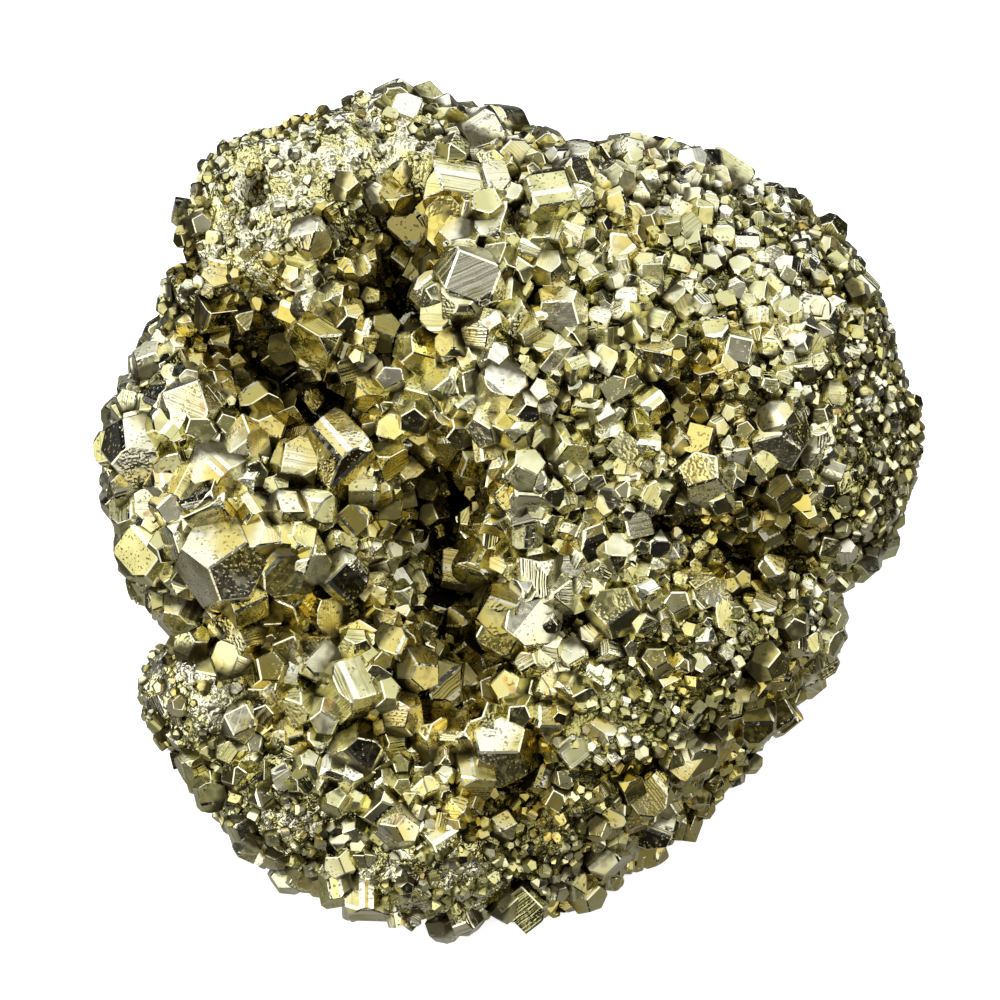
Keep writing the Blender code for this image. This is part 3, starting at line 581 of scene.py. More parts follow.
def surface_normal(point):
    """Outward direction of the lump's surface at a point."""
    steps = np.eye(3) * SLOPE_PROBE
    slope = lump_distance(point + steps) - lump_distance(point - steps)
    return slope / np.linalg.norm(slope)


def hollow_share(points):
    """How far each point lies in a hollow, from 0 outside to 1 on its wall."""
    return np.clip(1.0 - hollow_gaps(points) / HOLLOW_REACH, 0.0, 1.0).max(axis=1)


def area_share(points, areas, lowest):
    """How far each point lies in any of the areas that the viewer sees, from lowest to 1."""
    right, up = as_drawn(points)
    share = np.full(len(points), lowest)
    for middle_right, middle_up, half_width, half_height, value in areas:
        away = np.hypot((right - middle_right) / half_width, (up - middle_up) / half_height)
        share = np.maximum(share, value * np.clip(AREA_EDGE * (1.0 - away) + 0.5, 0.0, 1.0))
    return share


def pocket_share(points):
    """How far each point of the front lies in a pocket, from 0 to 1."""
    toward = (points - PLANE_ORIGIN) @ TOWARD
    front = np.clip((toward - POCKETS_BACK) / POCKETS_FADE, 0.0, 1.0)
    return area_share(points, POCKETS, 0.0) * front


def side_share(points):
    """How far each point lies on the steep lower right side, from 0 to 1."""
    return np.clip(((points - SIDE_POINT) @ SIDE_NORMAL + SIDE_SKIN) / SIDE_FADE, 0.0, 1.0)


def fine_share(points, lowest):
    """How fine-grained the surface is at each point, from lowest to 1."""
    return np.maximum(area_share(points, FINE_AREAS, 0.0) * (1.0 - side_share(points)), lowest)


def shade_share(points):
    """How far each point lies in a hollow, a pocket or the shade of the steep side, from 0 to 1."""
    shade = np.maximum(hollow_share(points), pocket_share(points))
    return np.maximum(shade, SIDE_SHADE * side_share(points))


def random_direction(dice):
    """One direction, all directions being equally likely."""
    height = dice.uniform(-1.0, 1.0)
    bearing = dice.uniform(0.0, 2.0 * math.pi)
    across = math.sqrt(1.0 - height * height)
    return (across * math.cos(bearing), across * math.sin(bearing), height)


def turn_to(normal, spin):
    """Rotation that brings a crystal's own +Z to the normal, after a spin about it."""
    return Vector(normal).to_track_quat("Z", "Y").to_matrix() @ Matrix.Rotation(spin, 3, "Z")


def front_facing(lean, swing):
    """Direction of a face that leans up and swings right from facing the viewer."""
    lean, swing = math.radians(lean), math.radians(swing)
    level = TOWARD * math.cos(lean) + UP * math.sin(lean)
    return level * math.cos(swing) + RIGHT * math.sin(swing)


# Crystal shapes
SQUARE_ON = 0.97
HIDDEN_SIDE = -0.1
CORNER_REACH = 1.42
PENTAGON_REACH = 0.92
PENTAGON_BLANK = 2.4
CUT_CORNERS = 0.25
REACH_SPREAD = (0.92, 1.08)
STRETCH_SPREAD = (0.86, 1.12)
OCTAHEDRON_REACH = 1.12
EDGE_FACE = -1
EDGE_CUTS = 0.5
EDGE_CUT_REACH = (0.98, 1.24)
CORNER_CUTS = 0.4
CORNER_CUT_REACH = (1.18, 1.5)


def form_planes(form, dice):
    """Face directions and distances that cut a cube into a crystal of the given form."""
    planes = []
    signs = (-1, 1)
    if form == PENTAGON:
        for first in signs:
            for second in signs:
                for turn in ((1, 2 * second, 0), (0, 1, 2 * second), (2 * second, 0, 1)):
                    normal = Vector(turn)
                    normal = normal if first > 0 else -normal
                    planes.append((normal, PENTAGON_REACH * dice.uniform(*REACH_SPREAD)))
        return planes
    for x in signs:
        for y in signs:
            for z in signs:
                if form == HEXAGON:
                    planes.append((Vector((x, y, z)), OCTAHEDRON_REACH * dice.uniform(*REACH_SPREAD)))
                elif dice.random() < CUT_CORNERS:
                    planes.append((Vector((x, y, z)), CORNER_REACH * dice.uniform(*REACH_SPREAD)))
    return planes


def slice_off(shape, place, normal):
    """Cut off what lies beyond a plane and close the cut with one face, which is returned."""
    cut = bmesh.ops.bisect_plane(
        shape,
        geom=shape.verts[:] + shape.edges[:] + shape.faces[:],
        plane_co=place,
        plane_no=normal,
        clear_outer=True,
    )
    rim = [item for item in cut["geom_cut"] if isinstance(item, bmesh.types.BMEdge)]
    if not rim:
        return []
    return bmesh.ops.edgeloop_fill(shape, edges=rim)["faces"]


def crystal_form(form, dice):
    """Closed crystal of half width 1 with its main faces, cut from a cube."""
    shape = bmesh.new()
    bmesh.ops.create_cube(shape, size=PENTAGON_BLANK if form == PENTAGON else 2.0)
    stretch = Vector([dice.uniform(*STRETCH_SPREAD) for _ in range(3)])
    bmesh.ops.scale(shape, vec=stretch, verts=shape.verts)
    for normal, reach in form_planes(form, dice):
        normal.normalize()
        slice_off(shape, normal * reach, normal)
    bmesh.ops.recalc_face_normals(shape, faces=shape.faces)
    return shape


def trim_form(shape, form, dice, share=1.0):
    """Cut more edges and corners off a crystal, so that its faces have five or six sides."""
    if form == PENTAGON:
        return
    for first in (-1, 1):
        for second in (-1, 1):
            for turn in ((1, 2 * second, 0), (0, 1, 2 * second), (2 * second, 0, 1)):
                if dice.random() < EDGE_CUTS * share:
                    normal = (Vector(turn) * first).normalized()
                    slice_off(shape, normal * dice.uniform(*EDGE_CUT_REACH), normal)
    for x in (-1, 1):
        for y in (-1, 1):
            for z in (-1, 1):
                if dice.random() < CORNER_CUTS * share:
                    normal = Vector((x, y, z)).normalized()
                    slice_off(shape, normal * dice.uniform(*CORNER_CUT_REACH), normal)
    shape.normal_update()


def stripe_axes(normal):
    """Directions across and along the growth stripes of a face, both lying in the face."""
    sizes = [abs(value) for value in normal]
    weakest = sizes.index(min(sizes))
    if max(sizes) > SQUARE_ON:
        weakest = (sizes.index(max(sizes)) + 1) % 3
    along = Vector([1.0 if axis == weakest else 0.0 for axis in range(3)])
    along = (along - normal * along.dot(normal)).normalized()
    return normal.cross(along), along


def blunt_edges(shape, depth, kind):
    """Cut a narrow flat along every edge, as wear leaves it."""
    cuts = []
    for edge in shape.edges:
        if len(edge.link_faces) == 2:
            normal = (edge.link_faces[0].normal + edge.link_faces[1].normal).normalized()
            cuts.append((edge.verts[0].co - normal * depth, normal))
    for place, normal in cuts:
        for face in slice_off(shape, place, normal):
            face[kind] = EDGE_FACE
    shape.normal_update()


def terrace(shape, kind, number, half_width, dice, steps):
    """Cut one face into parallel steps, as pyrite grows them."""
    faces = [face for face in shape.faces if face[kind] == number]
    if not faces:
        return
    normal = faces[0].normal.copy()
    across, _ = stripe_axes(normal)
    reach = [vert.co.dot(across) for face in faces for vert in face.verts]
    low, high = min(reach), max(reach)
    tread, riser, depth = [value / half_width for value in steps]
    marks, spot, level = [], low + tread * dice.random(), 0.0
    while spot < high - riser:
        marks.append((spot, level))
        level += dice.choice((-1.0, 1.0)) * dice.uniform(*STEP_SPREAD) * depth
        level = min(max(level, 0.0), 2.0 * depth)
        marks.append((spot + riser, level))
        spot += riser + tread * dice.expovariate(1.0) + LEAST_TREAD * tread
    if not marks:
        return
    for mark, _ in marks:
        faces = [face for face in shape.faces if face[kind] == number]
        geometry = set(faces)
        for face in faces:
            geometry.update(face.verts)
            geometry.update(face.edges)
        bmesh.ops.bisect_plane(
            shape, geom=list(geometry), dist=1e-5, plane_co=across * mark, plane_no=across
        )
    places = np.array([mark for mark, _ in marks])
    levels = np.array([level for _, level in marks])
    moved = {vert for face in shape.faces if face[kind] == number for vert in face.verts}
    for vert in moved:
        vert.co -= normal * float(np.interp(vert.co.dot(across), places, levels))


class Gathered:
    """Crystals collected into one mesh with what their metal needs to know of each face."""

    def __init__(self):
        self.points = []
        self.faces = []
        self.facets = []
        self.stripes = []
        self.tints = []
        self.hollows = []
        self.rises = []

    def add(self, shape, tint, hollow, dice, width, ground, outward, pitted=False):
        """Take in a finished crystal of the given width that stands outward on the ground."""
        start = len(self.points)
        shape.verts.index_update()
        self.points.extend(vert.co[:] for vert in shape.verts)
        self.tints.extend([tint] * len(shape.verts))
        self.hollows.extend([hollow] * len(shape.verts))
        # The rise above the ground is what the metal uses to paint shade near the foot of each crystal.
        self.rises.extend((vert.co - ground).dot(outward) / (CLEAR_HEIGHT * width) for vert in shape.verts)
        kind = shape.faces.layers.int["kind"]
        uv = shape.loops.layers.uv["stripes"]
        facets = {}
        for face in shape.faces:
            self.faces.append([start + vert.index for vert in face.verts])
            number = face[kind]
            if number not in facets:
                facets[number] = dice.uniform(*PITTED_FACETS) if pitted else dice.random()
            self.facets.append(facets[number] if number != EDGE_FACE else -1.0)
            self.stripes.extend((loop[uv].uv[0], loop[uv].uv[1]) for loop in face.loops)

    def mesh(self, name):
        """One mesh in metres."""
        made = bpy.data.meshes.new(name)
        made.from_pydata([(x * MM, y * MM, z * MM) for x, y, z in self.points], [], self.faces)
        facet = made.attributes.new("facet", "FLOAT", "FACE")
        facet.data.foreach_set("value", self.facets)
        for label, values in (("tint", self.tints), ("hollow", self.hollows), ("rise", self.rises)):
            made.attributes.new(label, "FLOAT", "POINT").data.foreach_set("value", values)
        layer = made.uv_layers.new(name="stripes")
        layer.data.foreach_set("uv", np.array(self.stripes, dtype=np.float32).ravel())
        made.update()
        return made


def dress_crystal(shape, width, stripe_width, blunt, dice, steps=None, seen=None):
    """Number the faces of a crystal, lay its stripes, blunt its edges and step its striped faces."""
    half_width = width / 2.0
    kind = shape.faces.layers.int.new("kind")
    uv = shape.loops.layers.uv.new("stripes")
    shape.normal_update()
    for number, face in enumerate(shape.faces):
        face[kind] = number
    count = len(shape.faces)
    if blunt:
        blunt_edges(shape, blunt / half_width, kind)
    for face in shape.faces:
        across, along = stripe_axes(face.normal)
        for loop in face.loops:
            spot = loop.vert.co
            loop[uv].uv = (spot.dot(across) * stripe_width / 2.0, spot.dot(along) * stripe_width / 2.0)
    if steps:
        for number in range(count):
            facing = [face.normal for face in shape.faces if face[kind] == number]
            if facing and (seen is None or facing[0].dot(seen) > HIDDEN_SIDE) and dice.random() < STEPPED:
                terrace(shape, kind, number, half_width, dice, steps)
    shape.normal_update()


def settle(shape, width, place, turn):
    """Move a crystal of half width 1 to its place, and cut off what would reach below the base."""
    fit = Matrix.Translation(place) @ turn.to_4x4() @ Matrix.Scale(width / 2.0, 4)
    bmesh.ops.transform(shape, matrix=fit, verts=shape.verts)
    if min(vert.co.z for vert in shape.verts) < 0.0:
        slice_off(shape, Vector((0.0, 0.0, 0.0)), Vector((0.0, 0.0, -1.0)))


STEP_SPREAD = (0.4, 1.0)
LEAST_TREAD = 0.35
# Growth steps: tread, riser and depth
HERO_STEPS = (0.34, 0.05, 0.045)
SIDE_STEPS = (0.8, 0.08, 0.08)
STEPPED = 0.38
EDGE_WEAR = 0.07
HERO_SHARE = 0.92
MARKED_LIFT = 0.35
FILL_SHARE = 0.84
FILL_LEAST_FINE = 0.45
DOME_CLEAR = 0.5
# Height, as a share of the width, over which the painted shade at a crystal's foot fades out
CLEAR_HEIGHT = 0.6
# A giant crystal has more corners cut and no growth steps.
GIANT_WIDTH = 6.7
GIANT_TRIM = 2.2
PITTED_FACETS = (0.385, 0.408)


def finish_crystal(held, shape, width, place, turn, ground, outward, hollow, detail, steps, pitted=False):
    """Dress a crystal, put it in its place and gather it with the ground that it stands on."""
    dress_crystal(shape, width, width, EDGE_WEAR, detail, steps, turn.transposed() @ outward)
    settle(shape, width, Vector(place), turn)
    held.add(shape, detail.random(), hollow, detail, width, Vector(ground), outward, pitted)
    shape.free()


def grow_large_crystals():
    """The large crystals of the front, and those of the sides and back, as two gathered meshes."""
    dice = random.Random(FILL_SEED)
    detail = random.Random(FILL_SEED + 1)
    front, sides = Gathered(), Gathered()
    places = []
    for right, up, width, form, lean, swing, spin, stand in FRONT_CRYSTALS:
        surface = surface_seen(right, up)
        outward = surface_normal(surface)
        width *= BLOCK_SHARE if form == BLOCK else 1.0
        place = surface + outward * (width * (stand - 0.5) - CRUST)
        turn = turn_to(front_facing(lean, swing), math.radians(spin))
        shape = crystal_form(form, dice)
        giant = width > GIANT_WIDTH
        trim_form(shape, form, detail, GIANT_TRIM if giant else 1.0)
        dome = float(area_share(surface[None, :], DOME_AREAS, 0.0)[0])
        shown = width * HERO_SHARE * (1.0 - (1.0 - DOME_SHARE) * dome)
        hollow_here = float(shade_share(surface[None, :])[0])
        finish_crystal(
            front, shape, shown, place, turn, surface - outward * CRUST, Vector(outward), hollow_here,
            detail, None if giant else HERO_STEPS, giant,
        )
        places.append((Vector(surface), width))
    for right, up, width, form, lean, swing, spin in MARKED_CRYSTALS:
        surface = surface_seen(right, up)
        outward = surface_normal(surface)
        shape = crystal_form(form, detail)
        trim_form(shape, form, detail)
        turn = turn_to(front_facing(lean, swing), math.radians(spin))
        place = surface + outward * (MARKED_LIFT * width - CRUST)
        hollow_here = float(shade_share(surface[None, :])[0])
        finish_crystal(
            front, shape, width, place, turn, surface - outward * CRUST, Vector(outward), hollow_here,
            detail, HERO_STEPS,
        )
    outward = np.array([random_direction(dice) for _ in range(FILL_TRIES)])
    spots = surface_toward_heart(outward)
    fine = fine_share(spots, SIDE_FINENESS)
    hollow = shade_share(spots)
    dome = area_share(spots, DOME_AREAS, 0.0)
    for surface, fine_here, hollow_here, dome_here in zip(spots, fine, hollow, dome):
        spot = Vector(surface)
        normal = Vector(surface_normal(surface))
        in_front = normal.dot(Vector(TOWARD)) > FILL_FRONT_FACING
        width = dice.uniform(*(FILL_FRONT_WIDTHS if in_front else FILL_SIDE_WIDTHS))
        form = dice.choice(FILL_FORMS)
        tilt = Vector(random_direction(dice)) * math.sin(FILL_LEAN)
        spin = dice.uniform(0.0, math.pi)
        if spot.z < FILL_CLEAR_OF_BASE:
            continue
        if any((spot - other).length < FILL_SPACING * (size + width) for other, size in places):
            continue
        place = spot + normal * (width * (FILL_STAND - 0.5) - CRUST)
        shape = crystal_form(form, dice)
        places.append((spot, width))
        if fine_here > FILL_LEAST_FINE or (in_front and dome_here > DOME_CLEAR):
            shape.free()
            continue
        trim_form(shape, form, detail)
        turn = turn_to((normal + tilt).normalized(), spin)
        finish_crystal(
            front if in_front else sides, shape, width * FILL_SHARE, place, turn, spot - normal * CRUST,
            normal, float(hollow_here), detail, HERO_STEPS if in_front else SIDE_STEPS,
        )
    return front, sides


def knob(point, size):
    """Height of rounded knobs of the given size, from 0 in the cracks between them to 1 on top."""
    near = noise.voronoi(Vector(point) / size)[0]
    return max(0.0, 1.0 - (near[0] / KNOB_REACH) ** 2)


def refined_ball():
    """Directions and triangles of a ball that has smaller triangles in the fine-grained areas."""
    ball = bmesh.new()
    bmesh.ops.create_icosphere(ball, subdivisions=BED_DETAIL, radius=1.0)
    outward = np.array([vert.co.normalized() for vert in ball.verts])
    fine = area_share(surface_toward_heart(outward), KNOB_AREAS, 0.0)
    edges = [edge for edge in ball.edges if all(fine[vert.index] > KNOB_START for vert in edge.verts)]
    bmesh.ops.subdivide_edges(ball, edges=edges, cuts=1, use_grid_fill=True)
    bmesh.ops.triangulate(ball, faces=[face for face in ball.faces if len(face.verts) > 3])
    for vert in ball.verts:
        vert.co.normalize()
    return ball


# Below this slope a point of the crust isn't over the base, and its reach is left free.
LEAST_SLOPE = 1e-6
FREE_REACH = 1e6
# Drusy crystals grow in the fine-grained areas, and knobs leave less room for them.
DRUSY_GAIN, DRUSY_CUT, DRUSY_SHARE, DRUSY_KNOBS = 1.3, 0.1, 0.5, 0.2
MEDIUM_FULL, MEDIUM_FINE, MEDIUM_LEAST = 1.15, 1.4, 0.04
SMALL_KNOBS = 0.65
GRAIN_SIZE, GRAIN_COARSE, GRAIN_FINE = 0.92, 0.25, 0.1


def bed_mesh():
    """The crust that the crystals grow on: a ball whose points are moved to just under the surface."""
    ball = refined_ball()
    outward = np.array([vert.co[:] for vert in ball.verts])
    heart = drawing_point(*HEART)
    surface = surface_toward_heart(outward)
    fine = fine_share(surface, 0.0)
    knobby = area_share(surface, KNOB_AREAS, 0.0)
    hollow = hollow_share(surface)
    rough = np.array([noise.noise(Vector(point) * BED_RELIEF_GRAIN) for point in surface])
    knobs = np.zeros(len(surface))
    for index in np.nonzero(knobby > KNOB_START)[0]:
        large, small = (knob(surface[index], size) for size in KNOB_SIZES)
        knobs[index] = KNOB_MIX * large + (1.0 - KNOB_MIX) * small
    knobbly = np.clip((knobby - KNOB_START) / (1.0 - KNOB_START), 0.0, 1.0) ** 0.5
    reach = np.linalg.norm(surface - heart, axis=1) - CRUST
    reach += BED_RELIEF * rough + knobbly * (KNOB_BASE + KNOB_HEIGHT * knobs)
    reach += FINE_RISE * fine * (1.0 - knobbly)
    pocket = pocket_share(surface)
    reach -= HOLLOW_EXTRA * hollow ** 2 + POCKET_DEPTH * pocket
    downward = -outward[:, 2]
    floor_reach = heart[2] / np.maximum(downward, LEAST_SLOPE)
    floor_reach = np.where(downward > LEAST_SLOPE, floor_reach, FREE_REACH)
    reach = np.minimum(reach, floor_reach)
    placed = heart + outward * reach[:, None]
    for vert, place in zip(ball.verts, placed):
        vert.co = Vector(place) * MM
    mesh = bpy.data.meshes.new("crystal_bed")
    ball.to_mesh(mesh)
    ball.free()
    side_fine = np.maximum(fine, SIDE_FINENESS)
    dome = area_share(surface, DOME_AREAS, 0.0)
    coarse = area_share(surface, COARSE_AREAS, SIDE_COARSENESS) * (1.0 - side_fine)
    coarse *= (1.0 - (1.0 - DOME_COARSENESS) * dome) * (1.0 - pocket)
    coarse = np.maximum(coarse, SIDE_COARSENESS * side_share(surface))
    drusy = np.clip(side_fine * DRUSY_GAIN - DRUSY_CUT, 0.0, 1.0)
    medium = np.clip(MEDIUM_FULL - MEDIUM_FINE * fine, MEDIUM_LEAST, 1.0)
    above = (placed[:, 2] > BED_FOOT).astype(float)
    values = {
        # Where the metal paints shade: the hollows, the pockets and the steep side
        "hollow": shade_share(surface),
        "knobbly": knobbly,
        "rise": knobs,
        "fine": above * drusy * (DRUSY_SHARE - DRUSY_KNOBS * knobbly),
        "coarse": above * coarse,
        "medium": above * medium * (1.0 - POCKET_BARE * pocket),
        "grow": above * (1.0 - SMALL_KNOBS * knobbly) * (1.0 - 0.5 * POCKET_BARE * pocket),
        "grain": GRAIN_SIZE + GRAIN_COARSE * coarse - GRAIN_FINE * side_fine,
        "tint": rough * 0.5 + 0.5,
    }
    for label, numbers in values.items():
        layer = mesh.attributes.new(label, "FLOAT", "POINT")
        layer.data.foreach_set("value", numbers.astype(np.float32))
    mesh.update()
    return mesh


# Node trees

class Graph:
    """Short way to add nodes to a tree and join them."""

    def __init__(self, tree):
        self.tree = tree

    def add(self, kind, inputs=None, **settings):
        """Add a node, set its settings, and set or link its inputs by name or number."""
        node = self.tree.nodes.new(kind)
        for name, value in settings.items():
            setattr(node, name, value)
        for name, value in (inputs or {}).items():
            socket = node.inputs[name]
            if isinstance(value, bpy.types.NodeSocket):
                self.tree.links.new(value, socket)
            else:
                socket.default_value = value
        return node

    def math(self, operation, first, second=0.0, third=0.0, clamp=False):
        """One Math node."""
        inputs = {0: first, 1: second, 2: third}
        kind = "ShaderNodeMath"
        return self.add(kind, inputs, operation=operation, use_clamp=clamp).outputs[0]

    def vector(self, operation, first, second=(0.0, 0.0, 0.0)):
        """One Vector Math node."""
        return self.add("ShaderNodeVectorMath", {0: first, 1: second}, operation=operation).outputs[0]

    def scaled(self, vector, factor):
        """A vector times a number."""
        node = self.add("ShaderNodeVectorMath", {0: vector, "Scale": factor}, operation="SCALE")
        return node.outputs[0]

    def between(self, value, low, high, start=0.0, end=1.0):
        """Smooth change from start to end as the value goes from low to high."""
        inputs = {0: value, 1: low, 2: high, 3: start, 4: end}
        return self.add("ShaderNodeMapRange", inputs, interpolation_type="SMOOTHSTEP").outputs[0]

    def mix(self, factor, first, second, blend="MIX"):
        """Mix two colours."""
        inputs = {0: factor, 6: first, 7: second}
        return self.add("ShaderNodeMix", inputs, data_type="RGBA", blend_type=blend).outputs[2]

    def noise(self, vector, scale, detail=0.0):
        """Value of a soft noise, from 0 to 1."""
        inputs = {"Vector": vector, "Scale": scale, "Detail": detail}
        return self.add("ShaderNodeTexNoise", inputs).outputs[0]

    def line_noise(self, along):
        """Value of a noise that changes along one number only."""
        inputs = {"W": along, "Scale": 1.0, "Detail": 0.0}
        return self.add("ShaderNodeTexNoise", inputs, noise_dimensions="1D").outputs[0]

    def attribute(self, name, output="Fac"):
        """One of the mesh's own attributes."""
        return self.add("ShaderNodeAttribute", attribute_name=name).outputs[output]


def new_group(name, kind, inputs, outputs):
    """Node group with its named sockets, as a graph with its input and output nodes."""
    tree = bpy.data.node_groups.new(name, kind)
    for label, socket, default in inputs:
        made = tree.interface.new_socket(label, in_out="INPUT", socket_type=socket)
        if default is not None:
            made.default_value = default
    for label, socket in outputs:
        tree.interface.new_socket(label, in_out="OUTPUT", socket_type=socket)
    graph = Graph(tree)
    return graph, graph.add("NodeGroupInput").outputs, graph.add("NodeGroupOutput")


FLOAT, VECTOR = "NodeSocketFloat", "NodeSocketVector"
# Shifts that keep the olive film and the rust from following the amber
OLIVE_SHIFT = (31.0, 7.0, 13.0)
RUST_SHIFT = (5.0, 51.0, 3.0)


# Growth stripes: sway with the noise, own shift of a face, two widths of band, and the share of the
# faces that is striped
STRIPE_SWAY = 0.30
STRIPE_SHIFT = 57.0
WIDE_BANDS, NARROW_BANDS = 1.7, 5.5
BAND_STEP = 0.07
NARROW_HEIGHT = 0.45
STRIPED_FACETS = (0.50, 0.95)
# Where the painted shade in the grooves between the stripes sets in
LINE_LEVELS = (0.46, 0.36)


def stripes_group():
    """Growth stripes of a crystal face: their height, and a mask of the grooves between them, where shade
    is painted.
    """
    graph, given, result = new_group(
        "growth stripes", "ShaderNodeTree",
        [("Stripes", VECTOR, None), ("Facet", FLOAT, 0.5), ("Sway", FLOAT, 0.5)],
        [("Height", FLOAT), ("Lines", FLOAT)],
    )
    parts = graph.add("ShaderNodeSeparateXYZ", {0: given["Stripes"]}).outputs
    across = graph.math("MULTIPLY_ADD", given["Sway"], STRIPE_SWAY, parts[0])
    shift = graph.math("MULTIPLY", given["Facet"], STRIPE_SHIFT)
    wide = graph.line_noise(graph.math("MULTIPLY_ADD", across, WIDE_BANDS, shift))
    narrow = graph.line_noise(graph.math("MULTIPLY_ADD", across, NARROW_BANDS, shift))
    stepped = graph.math("SNAP", wide, BAND_STEP)
    height = graph.math("MULTIPLY_ADD", narrow, NARROW_HEIGHT, stepped)
    strength = graph.between(given["Facet"], *STRIPED_FACETS)
    graph.tree.links.new(graph.math("MULTIPLY", height, strength), result.inputs["Height"])
    lines = graph.math("MULTIPLY", graph.between(narrow, *LINE_LEVELS), strength)
    graph.tree.links.new(lines, result.inputs["Lines"])
    return graph.tree


PIT_GRAIN = 3.4
PIT_MIX = 7.31
PIT_OWN = 0.35
PIT_PATCHES = (0.60, 0.78)
PIT_DEPTHS = (0.36, 0.24)


def pits_group():
    """Pitted and granular patches: their height and their mask."""
    graph, given, result = new_group(
        "pits", "ShaderNodeTree",
        [("Place", VECTOR, None), ("Facet", FLOAT, 0.5), ("Patch", FLOAT, 0.5)],
        [("Height", FLOAT), ("Mask", FLOAT)],
    )
    grit = graph.noise(given["Place"], PIT_GRAIN)
    own = graph.math("FRACT", graph.math("MULTIPLY", given["Facet"], PIT_MIX))
    where = graph.between(graph.math("MULTIPLY_ADD", own, PIT_OWN, given["Patch"]), *PIT_PATCHES)
    deep = graph.between(grit, *PIT_DEPTHS)
    mask = graph.math("MULTIPLY", deep, where)
    height = graph.math("MULTIPLY_ADD", mask, -1.0, graph.math("MULTIPLY", grit, where))
    graph.tree.links.new(height, result.inputs["Height"])
    graph.tree.links.new(mask, result.inputs["Mask"])
    return graph.tree


# Tarnish: grain of each noise, how far hollows and a crystal's own tint count, and where it sets in. Amber
# in the hollows is partly tarnish and partly a painted reflection of the gold around them.
AMBER_GRAIN, OLIVE_GRAIN, RUST_GRAIN = 0.2, 0.28, 0.5
HOLLOW_AMBER_REFLECTION = 0.55
TINT_AMBER, TINT_OLIVE = 0.16, -0.25
AMBER_LEVELS = (0.60, 0.92)
OLIVE_LEVELS = (0.34, 0.52)
RUST_LEVELS = (0.76, 0.84)


def tarnish_group():
    """Where the metal is amber, olive or rusty; amber in the hollows is partly tarnish and partly a
    painted reflection of the gold around them.
    """
    graph, given, result = new_group(
        "tarnish", "ShaderNodeTree",
        [("Place", VECTOR, None), ("Hollow", FLOAT, 0.0), ("Tint", FLOAT, 0.5)],
        [("Amber", FLOAT), ("Olive", FLOAT), ("Rust", FLOAT)],
    )
    cloud = graph.noise(given["Place"], AMBER_GRAIN)
    amber = graph.math("ADD", graph.math("MULTIPLY", given["Hollow"], HOLLOW_AMBER_REFLECTION), cloud)
    amber = graph.math("MULTIPLY_ADD", given["Tint"], TINT_AMBER, amber)
    graph.tree.links.new(graph.between(amber, *AMBER_LEVELS), result.inputs["Amber"])
    grey = graph.noise(graph.vector("ADD", given["Place"], OLIVE_SHIFT), OLIVE_GRAIN)
    olive = graph.between(graph.math("MULTIPLY_ADD", given["Tint"], TINT_OLIVE, grey), *OLIVE_LEVELS)
    graph.tree.links.new(olive, result.inputs["Olive"])
    spots = graph.noise(graph.vector("ADD", given["Place"], RUST_SHIFT), RUST_GRAIN)
    graph.tree.links.new(graph.between(spots, *RUST_LEVELS), result.inputs["Rust"])
    return graph.tree


def group_node(graph, tree, inputs):
    """A node that uses one of the shared groups."""
    node = graph.add("ShaderNodeGroup", node_tree=tree)
    for name, value in inputs.items():
        graph.tree.links.new(value, node.inputs[name])
    return node.outputs


# Crust between the crystals: grain of its noises, where painted shade darkens the cracks between its
# knobs, where painted shade darkens its hollows, and its roughness
BED_CLOUD, BED_GRIT = 0.5, 2.2
KNOB_CRACK_SHADE = (0.78, 0.38)
BED_HOLLOW_SHADE = (0.2, 0.8, 0.0, 0.9)
BED_ROUGHNESS = (0.3, 0.08)
BED_BUMP = 0.25 * MM


def bed_material(colours):
    """Rough metal between the crystals, dark with painted shade, and silvery knobs in the fine-grained
    areas with painted shade in the cracks between them and in the hollows.
    """
    made = bpy.data.materials.new("pyrite bed")
    made.use_nodes = True
    graph = Graph(made.node_tree)
    shader = made.node_tree.nodes["Principled BSDF"]
    place = graph.scaled(graph.add("ShaderNodeTexCoord").outputs["Object"], 1.0 / MM)
    cloud = graph.noise(place, BED_CLOUD, 1.0)
    grit = graph.noise(place, BED_GRIT, 1.0)
    # Painted shade: away from the knobs the crust is dark, as the shade deep between the crystals
    dark = graph.mix(graph.between(cloud, 0.35, 0.65), (*colours.painted_shade, 1.0), (*colours.olive, 1.0))
    bright = graph.mix(graph.between(cloud, 0.4, 0.6), (*colours.gold, 1.0), (*colours.pale, 1.0))
    # Painted shade in the cracks between the knobs, so that only their tops stay bright
    dip = graph.math("MULTIPLY_ADD", grit, 0.5, graph.attribute("rise"))
    bright = graph.mix(graph.between(dip, *KNOB_CRACK_SHADE), bright, (*colours.painted_shade, 1.0))
    colour = graph.mix(graph.between(graph.attribute("knobbly"), 0.1, 0.5), dark, bright)
    # Painted shade in the hollows, the pockets and on the steep side
    deep = graph.between(graph.attribute("hollow"), *BED_HOLLOW_SHADE)
    colour = graph.mix(deep, colour, (*colours.painted_shade, 1.0))
    graph.tree.links.new(colour, shader.inputs["Base Color"])
    shader.inputs["Metallic"].default_value = 1.0
    graph.tree.links.new(graph.math("MULTIPLY_ADD", cloud, *BED_ROUGHNESS), shader.inputs["Roughness"])
    bump = graph.add("ShaderNodeBump", {"Height": grit, "Distance": BED_BUMP})
    graph.tree.links.new(bump.outputs[0], shader.inputs["Normal"])
    return made


SMEAR_GRAIN, WAVE_GRAIN = 1.5, 0.55
# Painted shade at the foot of each crystal: darker where it rises little above its ground, broken up by
# the smear noise
FOOT_SHADE_SMEAR = 0.3
FOOT_SHADE_LEVELS = (0.74, 0.30)
# Painted shade in the hollows, the pockets and on the steep side
HOLLOW_SHADE_LEVELS = (0.35, 1.0, 0.0, 0.72)
